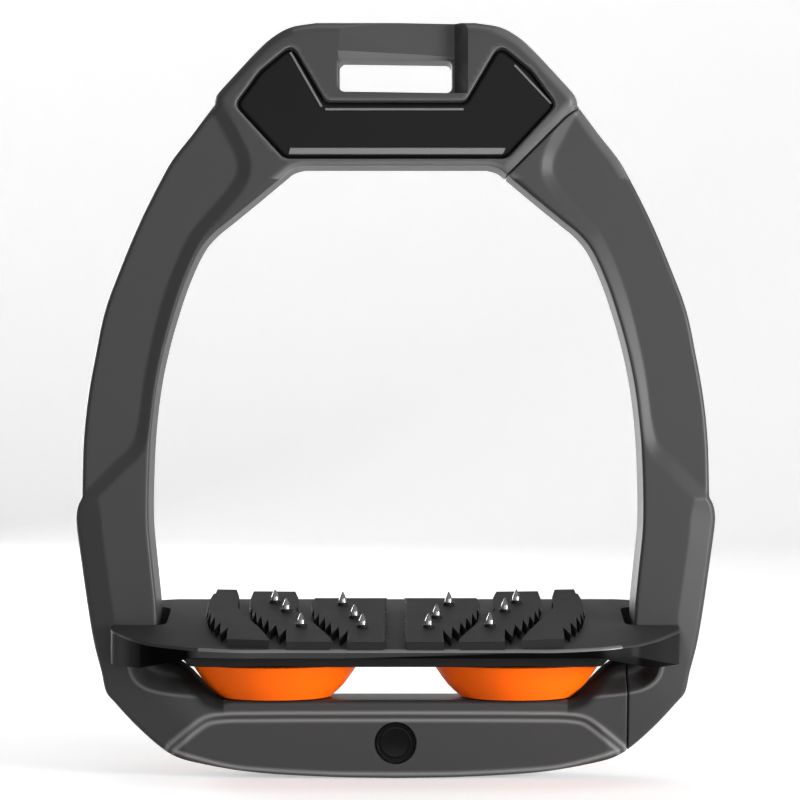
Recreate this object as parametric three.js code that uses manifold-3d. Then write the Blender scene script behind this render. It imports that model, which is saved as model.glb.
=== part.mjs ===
// A riding stirrup iron: a moulded frame, a release arm hinged at the crown, and a cushioned tread.
// Millimetres, +Z up, X across the foot opening, -Y to the front.
// The origin is the middle of the leather bar's underside.
import * as THREE from 'three';
import { mergeVertices } from 'three/addons/utils/BufferGeometryUtils.js';
import Module from 'manifold-3d';

const wasm = await Module();
wasm.setup();

// Foot opening and frame
const openingWidth = 123.4;
const openingHeight = 133.5;
const blockWidth = 18.4;
const armDepth = 20;
const crownHeight = 35.9;
const baseHeight = 19.6;
const edgeChamfer = 1.2;

// Leather slot, and the channel that lets the strap lie askew
const slotWidth = 28.4;
const slotHeight = 8.2;
const slotCorner = 1.4;
const barHeight = 9.15;
const channelDepth = 4.5;
const channelWallRun = 3.4;

// Surface relief of the arms and base
const reliefDepth = 1.4;
const reliefBand = 3.3;
const blockBevelWidth = 6.4;
const blockBevelDepth = 2;
const scoopWidth = 3.6;
const scoopDepth = 5.5;
const panelBand = 2.4;
const panelDepth = 1.2;

// Clearances and cut overrun
const clearance = 0.3;
const overrun = 2;

// Crown inserts and badge
const insertThickness = 1.3;
const insertPocketDepth = 1.9;
const insertRibHeight = 0.5;
const insertRibWidth = 1.3;
const badgeDiameter = 10;
const badgeThickness = 1.5;
const badgeRingWidth = 0.7;
const badgeRingHeight = 0.3;
const badgeDrop = 10.75;

// Release arm: hinge at the crown and magnetic latch at the base
const seamLength = 26.5;
const hingeInset = 5;
const hingeDrop = 12;
const hingePinDiameter = 3;
const hingePinLength = 14.6;
const tongueWidth = 8;
const tongueRadius = 3;
const tongueReach = 6;
const tongueRoot = 5;
const releaseAngle = THREE.MathUtils.degToRad(65);
const sweepStep = THREE.MathUtils.degToRad(13);
const bottomSeam = 58;
const magnetDiameter = 8;
const magnetThickness = 2.5;
const magnetDrop = 4;
const pegDiameter = 3;
const pegTipDiameter = 2;
const pegLength = 2.4;
const pegRise = 3.6;

// Tread
const treadWidth = 141.6;
const treadDepth = 60;
const treadOverhang = 39;
const treadTilt = THREE.MathUtils.degToRad(8.4);
const treadRise = 20.4;
const treadSkin = 2.6;
const lipRise = 12.75;
const prongExtra = 3.15;
const prongRampInset = 48.5;
const prongRamp = 14.5;
const treadSlotWidth = 21.5;
const treadSlotInset = 56.9;
const treadWall = 2.6;
const carrierWidth = 102;
const carrierDepth = 40.5;
const carrierThickness = 2.4;
const carrierRise = 9.2;

// Elastomer springs and their guide screws
const springSpacing = 60.2;
const springTopDiameter = 42;
const springFootDiameter = 27.6;
const springBore = 6.4;
const screwShank = 5;
const screwHeadDiameter = 8.4;
const screwHeadHeight = 3.4;
const counterboreDiameter = 10;
const bushWall = 1.2;
const webThickness = 6;
const washerDiameter = 10;
const washerThickness = 1.4;
const nutAcrossFlats = 8;
const nutHeight = 2.4;
const screwTail = 0.2;

// Screws that hold the carrier under the tread
const carrierScrewDiameter = 3;
const carrierScrewLength = 6;
const carrierScrewHead = 5.4;
const carrierScrewHeadHeight = 1.5;
const carrierPostDiameter = 6.6;

// Grip blocks and studs
const gripHeight = 2.6;
const gripFrontMargin = 1.8;
const studCollarDiameter = 2.8;
const studHeight = 3.4;
const studTipDiameter = 0.5;
const studStemDiameter = 2;
const studStemLength = 1.8;
const studPocket = 0.8;

// Sides of round shapes
const fineSides = 32;
const middleSides = 20;
const smallSides = 10;
const nutSides = 6;
const tongueSides = 8;
const seamArcSteps = 6;
const gripSteps = 14;

// Outlines that run past a solid, as a share of its width or length
const beyondShare = 1.2;

// Derived heights and widths
const crownUnder = barHeight - crownHeight;
const baseTop = crownUnder - openingHeight;
const baseBottom = baseTop - baseHeight;
const outerHalf = openingWidth / 2 + blockWidth;
const innerHalf = openingWidth / 2;
const frontFace = -armDepth / 2;
const recessedFace = frontFace + reliefDepth;

const colours = {
  frame: [0x4a4a4a, 0.48, 0],
  gloss: [0x1c1c1d, 0.15, 0],
  black: [0x161617, 0.55, 0],
  elastomer: [0xff6a10, 0.5, 0],
  tread: [0x474748, 0.42, 0.1],
  grip: [0x2f2f30, 0.7, 0],
  steel: [0xb8b8ba, 0.25, 1],
};

const part = new THREE.Group();

function materialOf(name) {
  const [color, roughness, metalness] = colours[name];
  return new THREE.MeshStandardMaterial({ color, roughness, metalness });
}

function solidOf(geometry) {
  const bare = geometry.clone();
  bare.deleteAttribute('normal');
  bare.deleteAttribute('uv');
  const merged = mergeVertices(bare);
  const mesh = new wasm.Mesh({
    numProp: 3,
    vertProperties: new Float32Array(merged.attributes.position.array),
    triVerts: new Uint32Array(merged.index.array),
  });
  return new wasm.Manifold(mesh);
}

function geometryOf(solid) {
  const mesh = solid.getMesh();
  const geometry = new THREE.BufferGeometry();
  geometry.setAttribute('position', new THREE.BufferAttribute(new Float32Array(mesh.vertProperties), 3));
  geometry.setIndex(new THREE.BufferAttribute(new Uint32Array(mesh.triVerts), 1));
  return geometry;
}

const join = (first, ...others) => others.reduce((whole, other) => whole.add(other), first);
const cut = (first, ...others) => others.reduce((whole, other) => whole.subtract(other), first);

function place(name, shape, colour, parent = part) {
  const geometry = shape.isBufferGeometry ? shape : geometryOf(shape);
  const mesh = new THREE.Mesh(geometry, materialOf(colour));
  mesh.name = name;
  parent.add(mesh);
  return mesh;
}

// Outline given as [x, z] points, extruded along Y between two places
function uprightGeometry(points, front, back, bevel = {}) {
  const shape = new THREE.Shape(points.map(([x, z]) => new THREE.Vector2(x, z)));
  const thickness = bevel.bevelThickness ?? 0;
  const geometry = new THREE.ExtrudeGeometry(shape, {
    depth: back - front - 2 * thickness,
    bevelEnabled: thickness > 0,
    bevelSegments: 1,
    ...bevel,
  });
  geometry.rotateX(Math.PI / 2);
  geometry.translate(0, back - thickness, 0);
  return geometry;
}

const upright = (points, front, back, bevel) => solidOf(uprightGeometry(points, front, back, bevel));

// Outline given as [x, y] points, extruded along Z between two heights
function flat(points, low, high) {
  const shape = new THREE.Shape(points.map(([x, y]) => new THREE.Vector2(x, y)));
  const geometry = new THREE.ExtrudeGeometry(shape, { depth: high - low, bevelEnabled: false });
  geometry.translate(0, 0, low);
  return solidOf(geometry);
}

function box(x0, x1, y0, y1, z0, z1) {
  const geometry = new THREE.BoxGeometry(x1 - x0, y1 - y0, z1 - z0);
  geometry.translate((x0 + x1) / 2, (y0 + y1) / 2, (z0 + z1) / 2);
  return solidOf(geometry);
}

// Round bar with its middle line along one axis, between two places on it
function rod(axis, radius, [x, y, z], from, to, sides = middleSides, farRadius = radius) {
  const geometry = new THREE.CylinderGeometry(farRadius, radius, to - from, sides);
  geometry.translate(0, (from + to) / 2, 0);
  if (axis === 'x') geometry.rotateZ(-Math.PI / 2);
  if (axis === 'z') geometry.rotateX(Math.PI / 2);
  geometry.translate(x, y, z);
  return solidOf(geometry);
}

// Body of revolution about Z. Its [radius, height] points start and end on the axis or close on themselves.
function turned(points, sides) {
  const geometry = new THREE.LatheGeometry(points.map(([r, z]) => new THREE.Vector2(r, z)), sides);
  geometry.rotateX(Math.PI / 2);
  return geometry;
}

const mirrored = (points) => points.map(([x, z]) => [-x, z]).reverse();
const turnedRound = (points) => points.map(([x, y]) => [-x, -y]);

function smooth(points, divisions) {
  const curve = new THREE.SplineCurve(points.map(([x, z]) => new THREE.Vector2(x, z)));
  return curve.getPoints(divisions).map((p) => [p.x, p.y]);
}

// Frame outlines. Widths are shares of half the outer or inner width, heights are shares of the opening's
// height down from the crown's underside, of the crown's height up from it, or of the base's height down.
const across = (share) => share * outerHalf;
const inside = (share) => share * innerHalf;
const down = (share) => crownUnder - share * openingHeight;
const crownUp = (share) => crownUnder + share * crownHeight;
const baseDown = (share) => baseTop - share * baseHeight;

const crownEndShare = 0.569;
const seamTopShare = 0.426;
const crownShares = [[0.25, 1], [0.33, 0.968], [0.385, 0.9], [0.43, 0.81]];
const crownCornerShares = [[0.564, 0.475], [crownEndShare, seamTopShare]];
const outerArmShares = [
  [0.63, -0.064], [0.7, -0.01], [0.734, 0.026], [0.8, 0.105], [0.859, 0.189],
  [0.909, 0.27], [0.938, 0.351], [0.962, 0.432], [0.976, 0.513], [0.981, 0.62],
];
const blockShares = [[1, 0.648], [0.999, 0.672], [0.99, 0.714], [0.946, 0.888], [0.92, 0.95]];
const heelShares = [
  [0.905, -0.08], [0.88, 0.04], [0.813, 0.334], [0.731, 0.628],
  [0.687, 0.73], [0.604, 0.819], [0.454, 0.921], [0.2, 0.985],
];
const innerShares = [
  [0.376, 0], [0.42, 0.006], [0.449, 0.0165], [0.677, 0.103], [0.733, 0.124], [0.775, 0.145], [0.805, 0.1675],
  [0.855, 0.22], [0.895, 0.2746], [0.935, 0.34], [0.967, 0.411], [0.988, 0.49], [0.997, 0.557], [1, 0.669],
  [0.985, 0.745], [0.969, 0.8187], [0.957, 0.915], [0.947, 0.925],
];
const footShares = [
  [0.927, 0.9303], [0.89, 0.9345], [0.848, 0.948], [0.814, 0.9637], [0.781, 0.9794], [0.749, 0.993], [0.7, 1],
];
// Floor of the scoop in each inner corner
const scoopShares = [
  [0.9, 0.905], [1.018, 0.905], [1.023, 0.9165], [1.019, 0.943], [0.992, 0.955], [0.932, 0.962], [0.835, 0.963],
];

function outerOutline() {
  const right = [
    ...crownShares.map(([x, z]) => [across(x), crownUp(z)]),
    ...crownCornerShares.map(([x, z]) => [across(x), crownUp(z)]),
    ...outerArmShares.map(([x, z]) => [across(x), down(z)]),
    ...blockShares.map(([x, z]) => [across(x), down(z)]),
    ...heelShares.map(([x, z]) => [across(x), baseDown(z)]),
  ];
  return [...right, [0, baseBottom], ...mirrored(right)];
}

function innerOutline() {
  const right = [...innerShares, ...footShares].map(([x, z]) => [inside(x), down(z)]);
  return [...right, ...mirrored(right)];
}

function ringSolid() {
  const outer = upright(outerOutline(), frontFace, -frontFace, {
    bevelThickness: edgeChamfer, bevelSize: edgeChamfer, bevelOffset: -edgeChamfer,
  });
  const inner = innerOutline();
  const opening = upright(inner, frontFace - overrun, -frontFace + overrun);
  return cut(outer, opening, ...reliefCutters(inner, edgeChamfer, edgeChamfer));
}

// A shallow pocket whose sides slope: the outline is its floor, and it grows by the band's width at the face
function reliefCutters(points, band, depth) {
  const slope = { bevelThickness: depth, bevelSize: band };
  return [
    upright(points, frontFace - overrun - depth, frontFace + depth, slope),
    upright(points, -frontFace - depth, -frontFace + overrun + depth, slope),
  ];
}

const armReliefShares = [
  [0.58, -0.11], [0.553, -0.081], [0.518, -0.042], [0.494, -0.012], [0.494, 0.012], [0.508, 0.029],
  [0.551, 0.062], [0.607, 0.101], [0.642, 0.127], [0.716, 0.229], [0.776, 0.371], [0.807, 0.493],
  [0.822, 0.521], [0.958, 0.603],
];
const blockBevelShares = [[1.03, 0.61], [1.003, 0.648], [0.99, 0.714], [0.946, 0.888], [0.912, 0.974]];

function armReliefs() {
  const farOut = across(beyondShare);
  const upper = armReliefShares.map(([x, z]) => [across(x), down(z)]);
  const upperLoop = [...upper, [farOut, upper.at(-1)[1]], [farOut, upper[0][1]]];
  const lower = blockBevelShares.map(([x, z]) => [across(x), down(z)]);
  const lowerLoop = [...lower, [farOut, lower.at(-1)[1]], [farOut, lower[0][1]]];
  const upperCuts = [upperLoop, mirrored(upperLoop)]
    .flatMap((loop) => reliefCutters(loop, reliefBand, reliefDepth));
  const lowerCuts = [lowerLoop, mirrored(lowerLoop)]
    .flatMap((loop) => reliefCutters(loop, blockBevelWidth, blockBevelDepth));
  return [...upperCuts, ...lowerCuts];
}

// The inner corners by the base are scooped away at the front
function scoops() {
  const loop = scoopShares.map(([x, z]) => [inside(x), down(z)]);
  return [loop, mirrored(loop)].map((points) => reliefCutters(points, scoopWidth, scoopDepth)[0]);
}

const panelShares = [
  [0.45, 0.24], [0.575, 0.28], [0.613, 0.357], [0.694, 0.622], [0.606, 0.74], [0.45, 0.85],
];

function panelReliefs() {
  const right = panelShares.map(([x, z]) => [across(x), baseDown(z)]);
  return reliefCutters([...right, ...mirrored(right)], panelBand, panelDepth);
}

// Crown: leather slot, askew strap channel and insert pockets
const channelFloorShare = 1.05;

function crownCutters() {
  const half = slotWidth / 2;
  const right = [
    [half - slotCorner, -slotHeight], [half, slotCorner - slotHeight],
    [half, -slotCorner], [half - slotCorner, 0],
  ];
  const slot = [...right, ...mirrored(right)];
  const through = upright(slot, frontFace - overrun, -frontFace + overrun);
  const channel = [
    [-half, frontFace - overrun], [-half, frontFace], [half, frontFace + channelDepth],
    [half + channelWallRun, frontFace], [half + channelWallRun, frontFace - overrun],
  ];
  const low = -slotHeight * channelFloorShare;
  const high = barHeight + overrun;
  return [through, flat(channel, low, high), flat(turnedRound(channel), low, high)];
}

const insertShares = [[0.347, 0.055], [0.5, 0.425], [0.336, 0.82], [0.312, 0.82], [0.219, 0.445]];

function insertCorners() {
  return insertShares.map(([x, z]) => [across(x), crownUp(z)]);
}

function insertOutline(grow) {
  const [foot, side, topOuter, topInner, dip] = insertCorners();
  const right = [
    [dip[0] - grow / 2, dip[1] + grow], [topInner[0] - grow / 2, topInner[1] + grow],
    [topOuter[0] + grow / 2, topOuter[1] + grow], [side[0] + grow * Math.SQRT2, side[1]],
    [foot[0] + grow / 2, foot[1] - grow],
  ];
  return [...right, ...mirrored(right)];
}

function crownInsert() {
  const face = frontFace + insertPocketDepth - insertThickness;
  const plate = upright(insertOutline(0), face, frontFace + insertPocketDepth);
  const [foot, , , topInner, dip] = insertCorners();
  const footX = foot[0] - insertRibWidth;
  const footZ = foot[1];
  const ribFace = face - insertRibHeight;
  const lower = upright([
    [-footX, footZ + insertRibWidth], [footX, footZ + insertRibWidth],
    [footX + insertRibWidth, footZ + 2 * insertRibWidth],
    [-footX - insertRibWidth, footZ + 2 * insertRibWidth],
  ], ribFace, face + insertRibHeight);
  const middle = upright([
    [-dip[0], dip[1] - 2 * insertRibWidth], [dip[0], dip[1] - 2 * insertRibWidth],
    [dip[0], dip[1] - insertRibWidth], [-dip[0], dip[1] - insertRibWidth],
  ], ribFace, face + insertRibHeight);
  const slope = [
    [dip[0] + insertRibWidth, dip[1] - insertRibWidth],
    [dip[0] + 2 * insertRibWidth, dip[1] - insertRibWidth],
    [topInner[0] + insertRibWidth, topInner[1] - insertRibWidth],
    [topInner[0], topInner[1] - insertRibWidth],
  ];
  return join(plate, lower, middle, upright(slope, ribFace, face + insertRibHeight),
    upright(mirrored(slope), ribFace, face + insertRibHeight));
}

function insertPockets() {
  const outline = insertOutline(clearance);
  return [
    upright(outline, frontFace - overrun, frontFace + insertPocketDepth + clearance),
    upright(outline, -frontFace - insertPocketDepth - clearance, -frontFace + overrun),
  ];
}

// Seams and hinge of the release arm. The upper seam slopes at 45 degrees from the crown's outer corner.
const seamCorner = [across(crownEndShare), crownUp(seamTopShare)];
const diagonal = Math.SQRT1_2;
const seamAt = (along, drop) => [
  seamCorner[0] - along * diagonal + drop * diagonal,
  seamCorner[1] - along * diagonal - drop * diagonal,
];
const hingePoint = seamAt(hingeInset, hingeDrop);

// Place measured from the hinge: inward along the seam, and down away from it
const fromHinge = (inward, lower) => seamAt(hingeInset + inward, hingeDrop + lower);

function arcAboutHinge(radius, start, end, steps) {
  const points = [];
  for (let i = 0; i <= steps; i += 1) {
    const angle = start + ((end - start) * i) / steps;
    points.push(fromHinge(-radius * Math.sin(angle), -radius * Math.cos(angle)));
  }
  return points;
}

// Region of the release arm in the front view. The shift moves every seam towards the arm.
const seamBendShare = 0.9;

function armZone(shift) {
  const radius = hingeDrop - shift;
  const farOut = across(beyondShare);
  const innerEnd = seamAt(seamLength * beyondShare, shift);
  const arc = arcAboutHinge(radius, 0, Math.PI / 4, seamArcSteps);
  const bendHeight = down(seamBendShare);
  return [
    innerEnd, ...arc, [farOut, arc.at(-1)[1]], [farOut, baseBottom - overrun],
    [bottomSeam + shift, baseBottom - overrun], [bottomSeam + shift, bendHeight],
    [bottomSeam - blockWidth, bendHeight],
  ];
}

function tongueOutline(grow) {
  const radius = tongueRadius + grow;
  const outerTop = fromHinge(-hingeInset + clearance - grow, -hingeDrop);
  const outerRoot = fromHinge(-hingeInset + clearance - grow, -hingeDrop - tongueRoot);
  const innerRoot = fromHinge(tongueReach + grow, -hingeDrop - tongueRoot);
  const innerTop = fromHinge(tongueReach + grow, -hingeDrop / 2);
  const foot = [];
  for (let i = 0; i <= tongueSides; i += 1) {
    const angle = (Math.PI * i) / tongueSides;
    foot.push(fromHinge(radius * Math.cos(angle), radius * Math.sin(angle)));
  }
  return [...foot, outerTop, outerRoot, innerRoot, innerTop];
}

function tongueSweep() {
  const half = tongueWidth / 2 + clearance;
  const outline = tongueOutline(clearance);
  const copies = [];
  for (let angle = 0; angle <= releaseAngle + sweepStep / 2; angle += sweepStep) {
    const geometry = uprightGeometry(outline, -half, half);
    geometry.translate(-hingePoint[0], 0, -hingePoint[1]);
    geometry.rotateY(angle);
    geometry.translate(hingePoint[0], 0, hingePoint[1]);
    copies.push(solidOf(geometry));
  }
  return join(...copies);
}

// Base: seats for the guide bushes, counterbores, badge recess, magnet and peg
const springPlaces = [-springSpacing / 2, springSpacing / 2];
const bushRadius = screwShank / 2 + clearance + bushWall;
const webBottom = baseTop - webThickness;
const magnetHeight = baseTop - magnetDrop;
const pegHeight = magnetHeight + magnetDiameter / 2 + pegRise;

function baseCutters() {
  const bores = springPlaces.flatMap((x) => [
    rod('z', bushRadius + clearance, [x, 0, 0], webBottom - overrun, baseTop + overrun),
    rod('z', counterboreDiameter / 2, [x, 0, 0], baseBottom - overrun, webBottom),
  ]);
  const badge = rod('y', badgeDiameter / 2 + clearance, [0, 0, baseTop - badgeDrop],
    frontFace - overrun, frontFace + panelDepth + badgeThickness + clearance, fineSides);
  return [...bores, badge];
}

function magnetPocket(side) {
  const face = bottomSeam + (side * clearance) / 2;
  const depth = magnetThickness + clearance;
  const [from, to] = side < 0 ? [face - depth, face + overrun] : [face - overrun, face + depth];
  return rod('x', magnetDiameter / 2 + clearance, [0, 0, magnetHeight], from, to);
}

function buildFrameAndArm() {
  const ring = cut(ringSolid(), ...armReliefs(), ...scoops(), ...panelReliefs());
  const armBlank = ring.intersect(upright(armZone(clearance / 2), frontFace - overrun, -frontFace + overrun));
  const frameBlank = cut(ring, upright(armZone(-clearance / 2), frontFace - overrun, -frontFace + overrun));
  const tongue = upright(tongueOutline(0), -tongueWidth / 2, tongueWidth / 2);
  const pinCentre = [hingePoint[0], 0, hingePoint[1]];
  const pinRadius = hingePinDiameter / 2;
  const pinBack = -recessedFace;
  const pinFront = pinBack - hingePinLength;
  const peg = rod('x', pegDiameter / 2, [0, 0, pegHeight], bottomSeam - pegLength,
    bottomSeam + pegLength, smallSides, pegTipDiameter / 2);
  const frame = cut(
    join(cut(frameBlank, ...crownCutters(), ...insertPockets(), ...baseCutters()), tongue, peg),
    ...springPlaces.map(springRoom),
    rod('y', pinRadius + clearance, pinCentre, -armDepth, armDepth),
    magnetPocket(-1),
  );
  const arm = cut(
    armBlank,
    tongueSweep(),
    rod('y', pinRadius + clearance, pinCentre, pinFront - clearance, armDepth),
    magnetPocket(1),
    rod('x', pegDiameter / 2 + 2 * clearance, [0, 0, pegHeight],
      bottomSeam - overrun, bottomSeam + pegLength + 2 * clearance),
  );
  place('frame', frame, 'frame');
  place('release_arm', arm, 'frame');
  place('hinge_pin', rod('y', pinRadius, pinCentre, pinFront, pinBack - clearance), 'steel');
}

function buildMagnets() {
  const centre = [0, 0, magnetHeight];
  const radius = magnetDiameter / 2;
  const baseFace = bottomSeam - clearance / 2;
  const armFace = bottomSeam + clearance / 2;
  place('base_magnet', rod('x', radius, centre, baseFace - magnetThickness, baseFace), 'steel');
  place('arm_magnet', rod('x', radius, centre, armFace, armFace + magnetThickness), 'steel');
}

function buildTrim() {
  place('front_crown_insert', crownInsert(), 'gloss');
  const rear = geometryOf(crownInsert());
  rear.rotateZ(Math.PI);
  place('rear_crown_insert', rear, 'gloss');
  const centre = [0, 0, baseTop - badgeDrop];
  const face = frontFace + panelDepth;
  const radius = badgeDiameter / 2;
  const disc = rod('y', radius, centre, face, face + badgeThickness, fineSides);
  const raised = rod('y', radius - badgeRingWidth, centre,
    face - badgeRingHeight, face + badgeRingHeight, fineSides);
  const hollow = rod('y', radius - 2 * badgeRingWidth, centre, face - overrun, face, fineSides);
  place('badge_disc', join(disc, cut(raised, hollow)), 'gloss');
}

// Tread: a wedge-shaped tray with level lower edges. Its slots hold the arms from the front and the back.
const treadFront = -treadOverhang;
const treadBack = treadDepth - treadOverhang;
const treadCentre = baseTop + treadRise;
const topAt = (y) => treadCentre + y * Math.tan(treadTilt);
const treadPlanShares = [
  [0.55, 0.012], [0.7, 0.05], [0.77, 0.087], [0.835, 0.125], [0.865, 0.155], [0.915, 0.225], [0.965, 0.32],
  [0.993, 0.375], [1, 0.42], [1, 0.56], [0.99, 0.66], [0.97, 0.75], [0.95, 0.83], [0.92, 0.92], [0.86, 0.98],
  [0.8, 1], [0.2, 1],
];
// Where the hollow under the tread cuts across its front corners
const hollowCornerShares = { along: 0.6, back: 0.78 };

function treadPlan() {
  const right = treadPlanShares.map(([x, y]) => [(x * treadWidth) / 2, treadFront + y * treadDepth]);
  return [...right, ...mirrored(right)];
}

// Everything above a plane that leans like the tread's top, lowered by a distance
function aboveTop(lowered) {
  const front = treadFront - treadDepth;
  const back = treadBack + treadDepth;
  const high = treadCentre + treadDepth;
  const frontLow = topAt(front) - lowered;
  const backLow = topAt(back) - lowered;
  const profile = [[front, frontLow], [back, backLow], [back, high], [front, high]];
  const shape = new THREE.Shape(profile.map(([y, z]) => new THREE.Vector2(y, z)));
  const width = treadWidth * beyondShare;
  const geometry = new THREE.ExtrudeGeometry(shape, { depth: width, bevelEnabled: false });
  geometry.rotateX(Math.PI / 2);
  geometry.rotateZ(Math.PI / 2);
  geometry.translate(-width / 2, 0, 0);
  return solidOf(geometry);
}

const lipBottom = baseTop + lipRise;
const prongBottom = lipBottom - prongExtra;
const carrierBottom = baseTop + carrierRise;
const carrierTop = carrierBottom + carrierThickness;
const carrierBack = treadBack - treadWall / 2;
const carrierFront = carrierBack - carrierDepth;
const postPlaces = [];
for (const x of [-1, 1]) {
  for (const y of [carrierFront + carrierPostDiameter, carrierBack - carrierPostDiameter]) {
    postPlaces.push([x * (carrierWidth / 2 - carrierPostDiameter), y]);
  }
}

function rampedBottom(side) {
  const end = prongRampInset + prongRamp;
  const points = [
    [0, prongBottom - overrun], [0, lipBottom], [prongRampInset, lipBottom],
    [end, prongBottom], [end, prongBottom - overrun],
  ];
  const outline = side > 0 ? points : mirrored(points);
  return upright(outline, treadFront - overrun, treadBack + overrun);
}

function treadPlate() {
  const high = treadCentre + treadDepth;
  const tray = cut(flat(treadPlan(), prongBottom, high), aboveTop(0), rampedBottom(1), rampedBottom(-1));
  const hollowHalf = treadSlotInset - treadWall;
  const hollow = cut(
    box(-hollowHalf, hollowHalf, treadFront + treadWall, treadBack - treadWall, prongBottom - overrun, high),
    aboveTop(treadSkin / Math.cos(treadTilt)),
  );
  const cornerX = hollowHalf * hollowCornerShares.along;
  const cornerY = treadFront * hollowCornerShares.back;
  const corner = [
    [cornerX, treadFront - overrun], [cornerX, treadFront + treadWall],
    [hollowHalf, cornerY], [hollowHalf, treadFront - overrun],
  ].reverse();
  const corners = [corner, mirrored(corner)].map((points) => flat(points, prongBottom - 2 * overrun, high));
  const half = treadSlotWidth / 2;
  const slotCornerX = treadSlotInset + treadWall / 2;
  const slot = [
    [treadWidth, -half], [treadWidth, half], [slotCornerX, half], [treadSlotInset, half - treadWall / 2],
    [treadSlotInset, treadWall / 2 - half], [slotCornerX, -half],
  ];
  const slots = [slot, mirrored(slot)].map((points) => flat(points, prongBottom - overrun, high));
  // Between the prongs the underside stays level, clear of the frame's inner corners
  const relief = box(-treadWidth, treadWidth, -half, half, prongBottom - overrun, lipBottom);
  const posts = postPlaces.map(([x, y]) => cut(
    rod('z', carrierPostDiameter / 2, [x, y, 0], carrierTop + clearance, treadCentre + treadSkin),
    aboveTop(treadSkin / 2),
  ));
  const holeEnd = carrierBottom + carrierScrewHeadHeight + carrierScrewLength + clearance;
  const holes = postPlaces.map(([x, y]) => rod('z', carrierScrewDiameter / 2 + clearance, [x, y, 0],
    carrierBottom - overrun, holeEnd, smallSides));
  const shell = cut(tray, cut(hollow, ...corners), ...slots, relief);
  return cut(join(shell, ...posts), ...holes, ...studHoles());
}

function carrier() {
  const half = carrierWidth / 2;
  const corner = carrierThickness;
  const right = [
    [half - corner, carrierFront], [half, carrierFront + corner],
    [half, carrierBack - corner], [half - corner, carrierBack],
  ];
  const plan = [...right, ...mirrored(right)];
  const low = carrierBottom - overrun;
  const high = carrierTop + overrun;
  const through = springPlaces.map((x) => rod('z', screwShank / 2 + 3 * clearance, [x, 0, 0], low, high));
  const dishes = springPlaces.map((x) => rod('z', screwShank / 2 + clearance, [x, 0, 0],
    carrierTop - washerThickness / 2, carrierTop + clearance, middleSides, washerDiameter / 2));
  const seat = carrierBottom + carrierScrewHeadHeight;
  const heads = postPlaces.flatMap(([x, y]) => [
    rod('z', carrierScrewDiameter / 2 + clearance, [x, y, 0], low, high, smallSides),
    rod('z', carrierScrewHead / 2 + clearance, [x, y, 0], low, seat, smallSides),
  ]);
  return cut(flat(plan, carrierBottom, carrierTop), ...through, ...dishes, ...heads);
}

function carrierScrew([x, y]) {
  const seat = carrierBottom + carrierScrewHeadHeight;
  return join(
    rod('z', carrierScrewHead / 2, [x, y, 0], carrierBottom, seat, smallSides),
    rod('z', carrierScrewDiameter / 2, [x, y, 0], seat, seat + carrierScrewLength, smallSides),
  );
}

function buildTread() {
  place('tread_plate', treadPlate(), 'tread');
  place('tread_carrier', carrier(), 'black');
  postPlaces.forEach((spot, i) => place(`carrier_screw_${i + 1}`, carrierScrew(spot), 'steel'));
}

// Elastomer springs between base and carrier, with a guide screw, bush, domed washer and lock nut each.
// The spring's profile: [share of the flare from the foot's radius to the top's, share of the height].
const springShares = [[-0.06, 0], [0, 0.03], [0.53, 0.5], [0.83, 0.8], [1, 0.97], [1, 1]];
const springTop = carrierBottom - clearance;
const springFoot = baseTop + clearance;

function springFlare(grow) {
  const footRadius = springFootDiameter / 2;
  const spread = springTopDiameter / 2 - footRadius;
  return springShares.map(([out, up]) => [
    footRadius + spread * out + grow, springFoot + (springTop - springFoot) * up,
  ]);
}

function springSolid(x) {
  const bore = springBore / 2;
  const points = [[bore, springFoot], ...springFlare(0), [bore, springTop], [bore, springFoot]];
  const geometry = turned(points, fineSides);
  geometry.translate(x, 0, 0);
  return solidOf(geometry);
}

// Space that a spring needs clear of the frame
function springRoom(x) {
  const geometry = turned([[0, springFoot], ...springFlare(clearance), [0, springTop]], fineSides);
  geometry.translate(x, 0, 0);
  return solidOf(geometry);
}

function guideScrew(x) {
  const seat = webBottom - clearance;
  const washerTop = carrierTop + clearance + washerThickness / 2;
  const end = washerTop + nutHeight + screwTail;
  return join(
    rod('z', screwHeadDiameter / 2, [x, 0, 0], seat - screwHeadHeight, seat),
    rod('z', screwShank / 2, [x, 0, 0], seat, end),
  );
}

function sleeve(x, inner, outer, low, high, lowOuter = outer, sides = middleSides) {
  const bore = rod('z', inner, [x, 0, 0], low - overrun, high + overrun);
  return cut(rod('z', lowOuter, [x, 0, 0], low, high, sides, outer), bore);
}

function buildSprings() {
  const hole = screwShank / 2 + clearance;
  const washerTop = carrierTop + clearance + washerThickness / 2;
  const washerBottom = washerTop - washerThickness;
  const washerRadius = washerDiameter / 2 - clearance;
  const nutRadius = nutAcrossFlats / Math.sqrt(3);
  const nutTop = washerTop + nutHeight;
  springPlaces.forEach((x, i) => {
    const side = i ? 'right' : 'left';
    place(`${side}_elastomer_spring`, springSolid(x), 'elastomer');
    place(`${side}_guide_bush`, sleeve(x, hole, bushRadius, webBottom, baseTop), 'black');
    place(`${side}_guide_screw`, guideScrew(x), 'steel');
    const washer = sleeve(x, hole, washerRadius, washerBottom, washerTop, hole + clearance);
    place(`${side}_domed_washer`, washer, 'steel');
    place(`${side}_lock_nut`, sleeve(x, hole, nutRadius, washerTop, nutTop, nutRadius, nutSides), 'steel');
  });
}

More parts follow.
